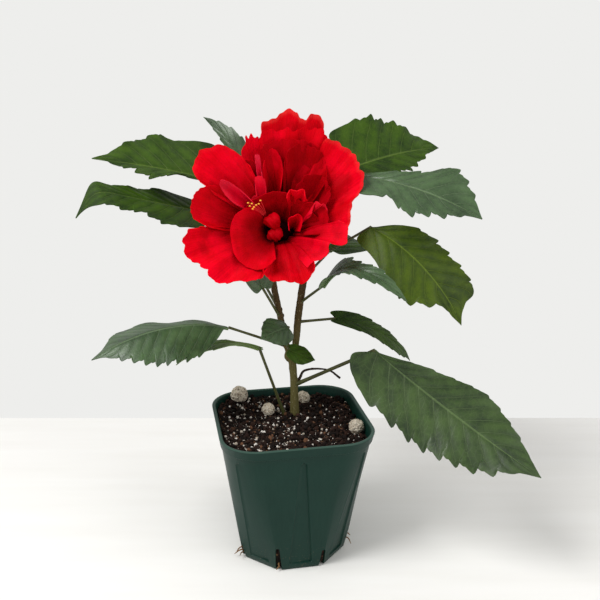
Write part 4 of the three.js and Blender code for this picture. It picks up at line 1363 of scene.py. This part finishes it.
# %% The rule of a petal
def petal_points(petal, s, v):
    """The rule of a petal: a fan from its foot to its free edge, with folds and crumples."""
    # the free edge, read at even steps from its left end to its right end
    edge = np.array(petal["edge"], float)
    deep = np.interp(np.linspace(0, 2, len(edge)), (0, 1, 2), petal["depth"])
    edge = np.stack([edge[:, 0], deep, edge[:, 1]], axis=1)
    steps = np.sqrt(np.linalg.norm(np.diff(edge, axis=0), axis=1))
    marks = 2 * np.concatenate([[0], np.cumsum(steps)]) / steps.sum() - 1
    rim = smooth_at(edge, marks, v)
    foot = np.array(petal["foot"])
    width = np.linalg.norm(edge[-1] - edge[0])
    side = (edge[-1] - edge[0]) / width
    normal = unit(np.cross(side, edge.mean(axis=0) - foot))
    normal = petal.get("facing", normal * np.sign(normal @ BLOOM_AXIS))
    # small scallops and nicks in the edge, and a narrow claw at the foot
    waves, phase = petal.get("waves", 2), petal.get("phase", 0)
    size = min(width / 36 + 0.2, 1)
    soft = size * petal.get("folds", 1)
    crinkle = np.abs(np.sin(np.pi * (waves * 1.9 * v + phase))) ** 0.7 - 0.65
    out = s * (1 + petal.get("scallop", 0.025) * size * crinkle * s ** 4)
    out = out * (1 + 0.005 * np.sin(v * 37 + 9 * phase) * s ** 8)
    claw = foot + side * (v * min(0.08 * width + 0.5, 3))[..., None]
    # how far the petal stands off the fan: its arch and cup, ruffles that grow to the edge
    rise = -petal.get("sag", 0) * np.sin(np.pi * s) * (1 - 0.6 * v * v)
    rise = rise + petal.get("cup", 0) * (v * v - 0.3) * s ** 0.7
    rise = rise + petal["ruffle"] * s ** 3 * np.sin(v * waves * np.pi + phase)
    rise = rise + 0.6 * soft * s ** 5 * np.sin(v * waves * 2.6 * np.pi + 3 * phase + 2 * s)
    rise = rise + 0.3 * soft * s ** 8 * np.sin(v * waves * 6 * np.pi + 7 * phase)
    # folds that run from the foot to the edge, and crumples and dimples between them
    spread = v + 0.12 * np.sin(3 * s + 4 * phase)
    folds = np.sin(spread * 5 * np.pi + 1.3 * phase) + 0.6 * np.sin(spread * 9 * np.pi - 2 * s + phase)
    crumple = np.sin(8 * s + 5 * v + 3 * phase) * np.sin(9 * v - 4 * s + phase)
    rise = rise + np.sin(np.pi * s) * (0.36 * soft * folds + 0.5 * size * crumple)
    dimple = np.sin(13 * s + 3 * v + 5 * phase) * np.sin(15 * v + 5 * s + 2 * phase)
    rise = rise + 0.22 * soft * s * dimple
    return claw + (rim - claw) * out[..., None] + normal * rise[..., None]


top = petal_points(PETALS[0], np.ones(1), np.zeros(1))[0]
print("the top petal's edge is at", np.round(top, 1), "mm")

# %% Make the bloom
PETAL_ROWS = 40
PETAL_COLUMNS = 56
SMALL_PETAL_ROWS = 26
SMALL_PETAL_COLUMNS = 30
SMALL_PETAL_POINTS = 8
PETAL_WALL = 0.45
HEART = (-5.5, 1.5, 199)
HEART_RADIUS = 7.3


def marked(piece, tone, shade_within):
    """Stores on every point how pink its petal is, and how much painted shade darkens it."""
    for name, value in (("tone", tone), ("shade_within", shade_within)):
        attribute = piece.data.attributes.new(name, "FLOAT", "POINT")
        attribute.data.foreach_set("value", [value] * len(piece.data.vertices))
    return piece


def petal_piece(number, petal):
    """One petal, whose tone comes from its number where it isn't given."""
    def rule(s, v):
        return petal_points(petal, s, v)

    rows, columns = PETAL_ROWS, PETAL_COLUMNS
    if len(petal["edge"]) < SMALL_PETAL_POINTS:
        rows, columns = SMALL_PETAL_ROWS, SMALL_PETAL_COLUMNS
    piece = grid_piece(rows, columns, rule, PETAL_WALL, 1)
    return marked(piece, petal.get("tone", (number * 0.37) % 0.8), petal["shade_within"])


def folded_ball(centre, radius, stretch, folds, tone, shade_within, reach):
    """A ball pressed into soft folds: the heart of the bloom, and buds that never opened."""
    bpy.ops.object.select_all(action="DESELECT")
    bpy.ops.mesh.primitive_ico_sphere_add(subdivisions=4, radius=1)
    ball = bpy.context.object
    spots = points_of(ball)
    around = np.arctan2(spots[:, 0], spots[:, 2])
    pressed = 1 + 0.14 * np.sin(folds * around + 2 * spots[:, 1]) * (1 - spots[:, 1] ** 2)
    pressed = pressed + 0.05 * np.sin(9 * spots[:, 0] + 7 * spots[:, 2])
    put_points(ball, (np.array(centre) + spots * pressed[:, None] * radius * np.array(stretch)) * MM)
    uv = ball.data.uv_layers[0].data
    uv.foreach_set("uv", [reach] * (2 * len(uv)))
    return marked(ball, tone, shade_within)


petal_pieces = [petal_piece(number, petal) for number, petal in enumerate(PETALS)]
# the heart takes the throat's painted shade and comes out nearly black
heart = folded_ball(HEART, HEART_RADIUS, (1.3, 1, 1.15), folds=0, tone=0, shade_within=1, reach=0.1)
buds = [
    folded_ball((-9.4, -10.5, 208.4), 5, (0.95, 1, 0.85), folds=3, tone=0.3, shade_within=0.85, reach=0.7),
    folded_ball((-8.2, -10.5, 200.8), 4.8, (0.9, 1, 0.95), folds=2, tone=0.5, shade_within=0.9, reach=0.66),
]
bloom = joined(petal_pieces + [heart] + buds)
outward(bloom, 0.004 * MM)
smooth(bloom, 62)
print("faces of the bloom:", len(bloom.data.polygons))

# %% Red petals
velvet = Finish("red_petal", shine=0.1, more={
    "Specular Tint": (1, 0.2, 0.3, 1), "Subsurface Weight": 0.12, "Subsurface Scale": 1.0,
    "Subsurface Radius": (0.0012, 0.0001, 0.0001)})
flow = velvet.flow()
reach = velvet.part(flow, "X")
tone = velvet.tone()
shade_within = velvet.node("Attribute", {"attribute_name": "shade_within"}, {}, "Fac")
veins = velvet.clouds((2.2, 46, 1), 4, flow)
blush = velvet.clouds(90)
# two reds in soft clouds, darker veins, and darker patches that are painted shade in the folds
colour = velvet.mix(velvet.rise(blush + 0.3 * tone, 0.4, 0.9), srgb(198, 0, 12), srgb(238, 0, 30))
colour = velvet.mix(0.32 * velvet.rise(veins, 0.45, 0.75), colour, srgb(160, 0, 8))
# painted shade in the folds: darker patches in soft clouds, kept away from the edge
shade = velvet.clouds((120, 120, 60), 3)
patches = velvet.rise(shade, 0.46, 0.7) * velvet.rise(reach, 1.02, 0.85)
colour = velvet.mix(0.62 * patches, colour, srgb(158, 0, 6))
# the petals that began as stamens are pinker, and their ends get a pale painted highlight
pink = velvet.rise(tone, 0.82, 1.0)
colour = velvet.mix(0.75 * pink, colour, srgb(216, 10, 48))
colour = velvet.mix(0.16 * pink * velvet.rise(reach, 0.7, 1.0), colour, srgb(244, 92, 116))
# painted shade: petals near the throat are darker, and the throat itself is painted nearly black
deep_petal_shade = 0.6 * velvet.rise(shade_within, 0.72, 1.0)
inner = velvet.math("MAXIMUM", shade_within * velvet.rise(reach, 1.05, 0.4), deep_petal_shade)
colour = velvet.mix(inner, colour, srgb(118, 0, 2))
throat = velvet.rise(shade_within, 0.2, 0.8) * velvet.rise(reach, 0.4, 0.14)
colour = velvet.mix(throat, colour, srgb(24, 0, 1))
# a painted highlight: a thin light rim on the outer petals
rim = velvet.rise(reach + 0.04 * veins, 0.965, 1.01)
rim = rim * velvet.rise(shade_within, 0.6, 0.2) * velvet.rise(tone, 0.9, 0.8)
colour = velvet.mix(0.4 * rim * blush, colour, srgb(255, 96, 84))
velvet.feed("Base Color", colour)
velvet.feed("Roughness", 0.42 + 0.25 * blush)
velvet.bump(veins + 0.4 * velvet.clouds(500), 0.3)
hand_over(bloom, "petals", ["bloom"], [velvet.material])

# %% [markdown]
# A few true stamens are left beside the throat, where the cup's lip meets the stalk-like
# petals: short red threads with yellow anthers that are dusted with pollen. The anthers are
# small balls, and all of them are one piece with their threads.

# %% Stamens
ANTHERS = [(-21.6, -17, 217.8), (-20.5, -17, 219.2), (-19.3, -18, 217.4), (-18.1, -17.5, 218.5),
           (-16.7, -17, 219), (-15.8, -16, 220.7), (-20, -18, 216.4), (-22.6, -16, 219.4)]
MIDDLE_ANTHER = np.array(ANTHERS[3])
THREAD_FOOT = np.array((-14, -10, 212))
THREAD_SPREAD = 0.3
THREAD_BEND = (0, -1.5, 1)
ANTHER_RADIUS = 0.62
THREAD_RADIUS = 0.2
anthers = []
for spot in np.array(ANTHERS):
    bpy.ops.mesh.primitive_ico_sphere_add(subdivisions=2, radius=ANTHER_RADIUS * MM)
    ball = bpy.context.object
    put_points(ball, points_of(ball) * (1, 1, 0.7) + spot * MM)
    foot = THREAD_FOOT + (spot - MIDDLE_ANTHER) * THREAD_SPREAD
    route = smooth_route([foot, (foot + spot) / 2 + THREAD_BEND, spot], 0.8)
    thread = tube(route, [THREAD_RADIUS, THREAD_RADIUS], 3)
    anthers += [marked(ball, 1, 0), marked(thread, 0, 0)]
stamens = joined(anthers)
smooth(stamens, 60)
pollen = Finish("pollen", 0.85)
colour = pollen.mix(pollen.clouds(1500), srgb(232, 140, 30), srgb(250, 196, 70))
pollen.feed("Base Color", pollen.mix(pollen.rise(pollen.tone(), 0.6, 0.4), colour, srgb(214, 20, 30)))
pollen.bump(pollen.clouds(2600), 0.1)
hand_over(stamens, "stamens", [], [pollen.material])

# %% [markdown]
# Behind the bloom sits a green cup of five joined sepals, with a ring of narrow bracts below
# it, on a thick round stalk. It hardly shows from the front, yet from behind it is what holds
# the flower up.

# %% Calyx and flower stalk
CALYX_BACK = 5.5
CALYX_CENTRE = np.array(HEART) - CALYX_BACK * BLOOM_AXIS
CUP_RADIUS = 7.2
SEPALS = 5
BRACTS = 7
# a scale's length and half width, how far its tip leans out, and its wall
SEPAL = (14, 4.6, 2.0, 0.5)
BRACT = (8, 1.2, 3.5, 0.45)
SCALE_ROWS = 18
SCALE_COLUMNS = 10
SCALE_START = -62
SCALE_SPAN = 118
FULL_SCALE = 15


def around_axis(angle):
    """A direction square to the bloom's axis, turned by an angle."""
    first = unit(np.cross(BLOOM_AXIS, UP))
    second = np.cross(BLOOM_AXIS, first)
    return first * math.cos(angle) + second * math.sin(angle)


def scale_piece(angle, length, half, spread, wall):
    """A pointed scale that hugs a ball around the calyx and leans out at its tip."""
    outwards = around_axis(angle)
    side = np.cross(BLOOM_AXIS, outwards)

    def rule(s, v):
        lean = np.radians(SCALE_START + SCALE_SPAN * s * length / FULL_SCALE)
        radius = CUP_RADIUS + 0.2 + spread * s ** 3
        width = half * np.sin(np.pi * np.clip(0.18 + 0.82 * s, 0, 1)) ** 0.75
        turn = v * width / radius
        ring = outwards * np.cos(turn)[:, None] + side * np.sin(turn)[:, None]
        over = (radius * np.sin(lean))[:, None] * BLOOM_AXIS + (radius * np.cos(lean))[:, None] * ring
        return CALYX_CENTRE + over

    return grid_piece(SCALE_ROWS, SCALE_COLUMNS, rule, wall, 1)


sepals = [scale_piece(2 * math.pi * k / SEPALS, *SEPAL) for k in range(SEPALS)]
bracts = [scale_piece(2 * math.pi * (k + 0.4) / BRACTS, *BRACT) for k in range(BRACTS)]
bpy.ops.mesh.primitive_uv_sphere_add(segments=28, ring_count=20, radius=(CUP_RADIUS - 0.4) * MM)
cup = bpy.context.object
put_points(cup, points_of(cup) + CALYX_CENTRE * MM)
stalk_route = smooth_route([(-10.8, 11, 171), (-10.6, 10.6, 172), (-8, 10.5, 183), CALYX_CENTRE], 0.8)
flower_stalk = tube(stalk_route, [1.7, 1.35, 1.25, 1.25, 1.35, 2.4, 3.2], 4)
calyx = joined(sepals + bracts + [cup, flower_stalk])
outward(calyx, 0.01 * MM)
smooth(calyx, 60)
print("sepals:", SEPALS, "and bracts:", BRACTS)

# %% Green of the calyx
sap_green = Finish("calyx_green", 0.5, 0.4)
ribs = sap_green.clouds((1.5, 12, 1), 3, sap_green.flow())
colour = sap_green.mix(sap_green.clouds(260), srgb(62, 86, 36), srgb(104, 128, 62))
sap_green.feed("Base Color", sap_green.mix(0.4 * ribs, colour, srgb(140, 150, 84)))
sap_green.bump(ribs + 0.4 * sap_green.clouds(1200), 0.2)
# a scale's two sides ask for two slots, and both take the same green
calyx.data.materials.clear()
hand_over(calyx, "calyx", ["bloom_stalk"], [sap_green.material, sap_green.material])
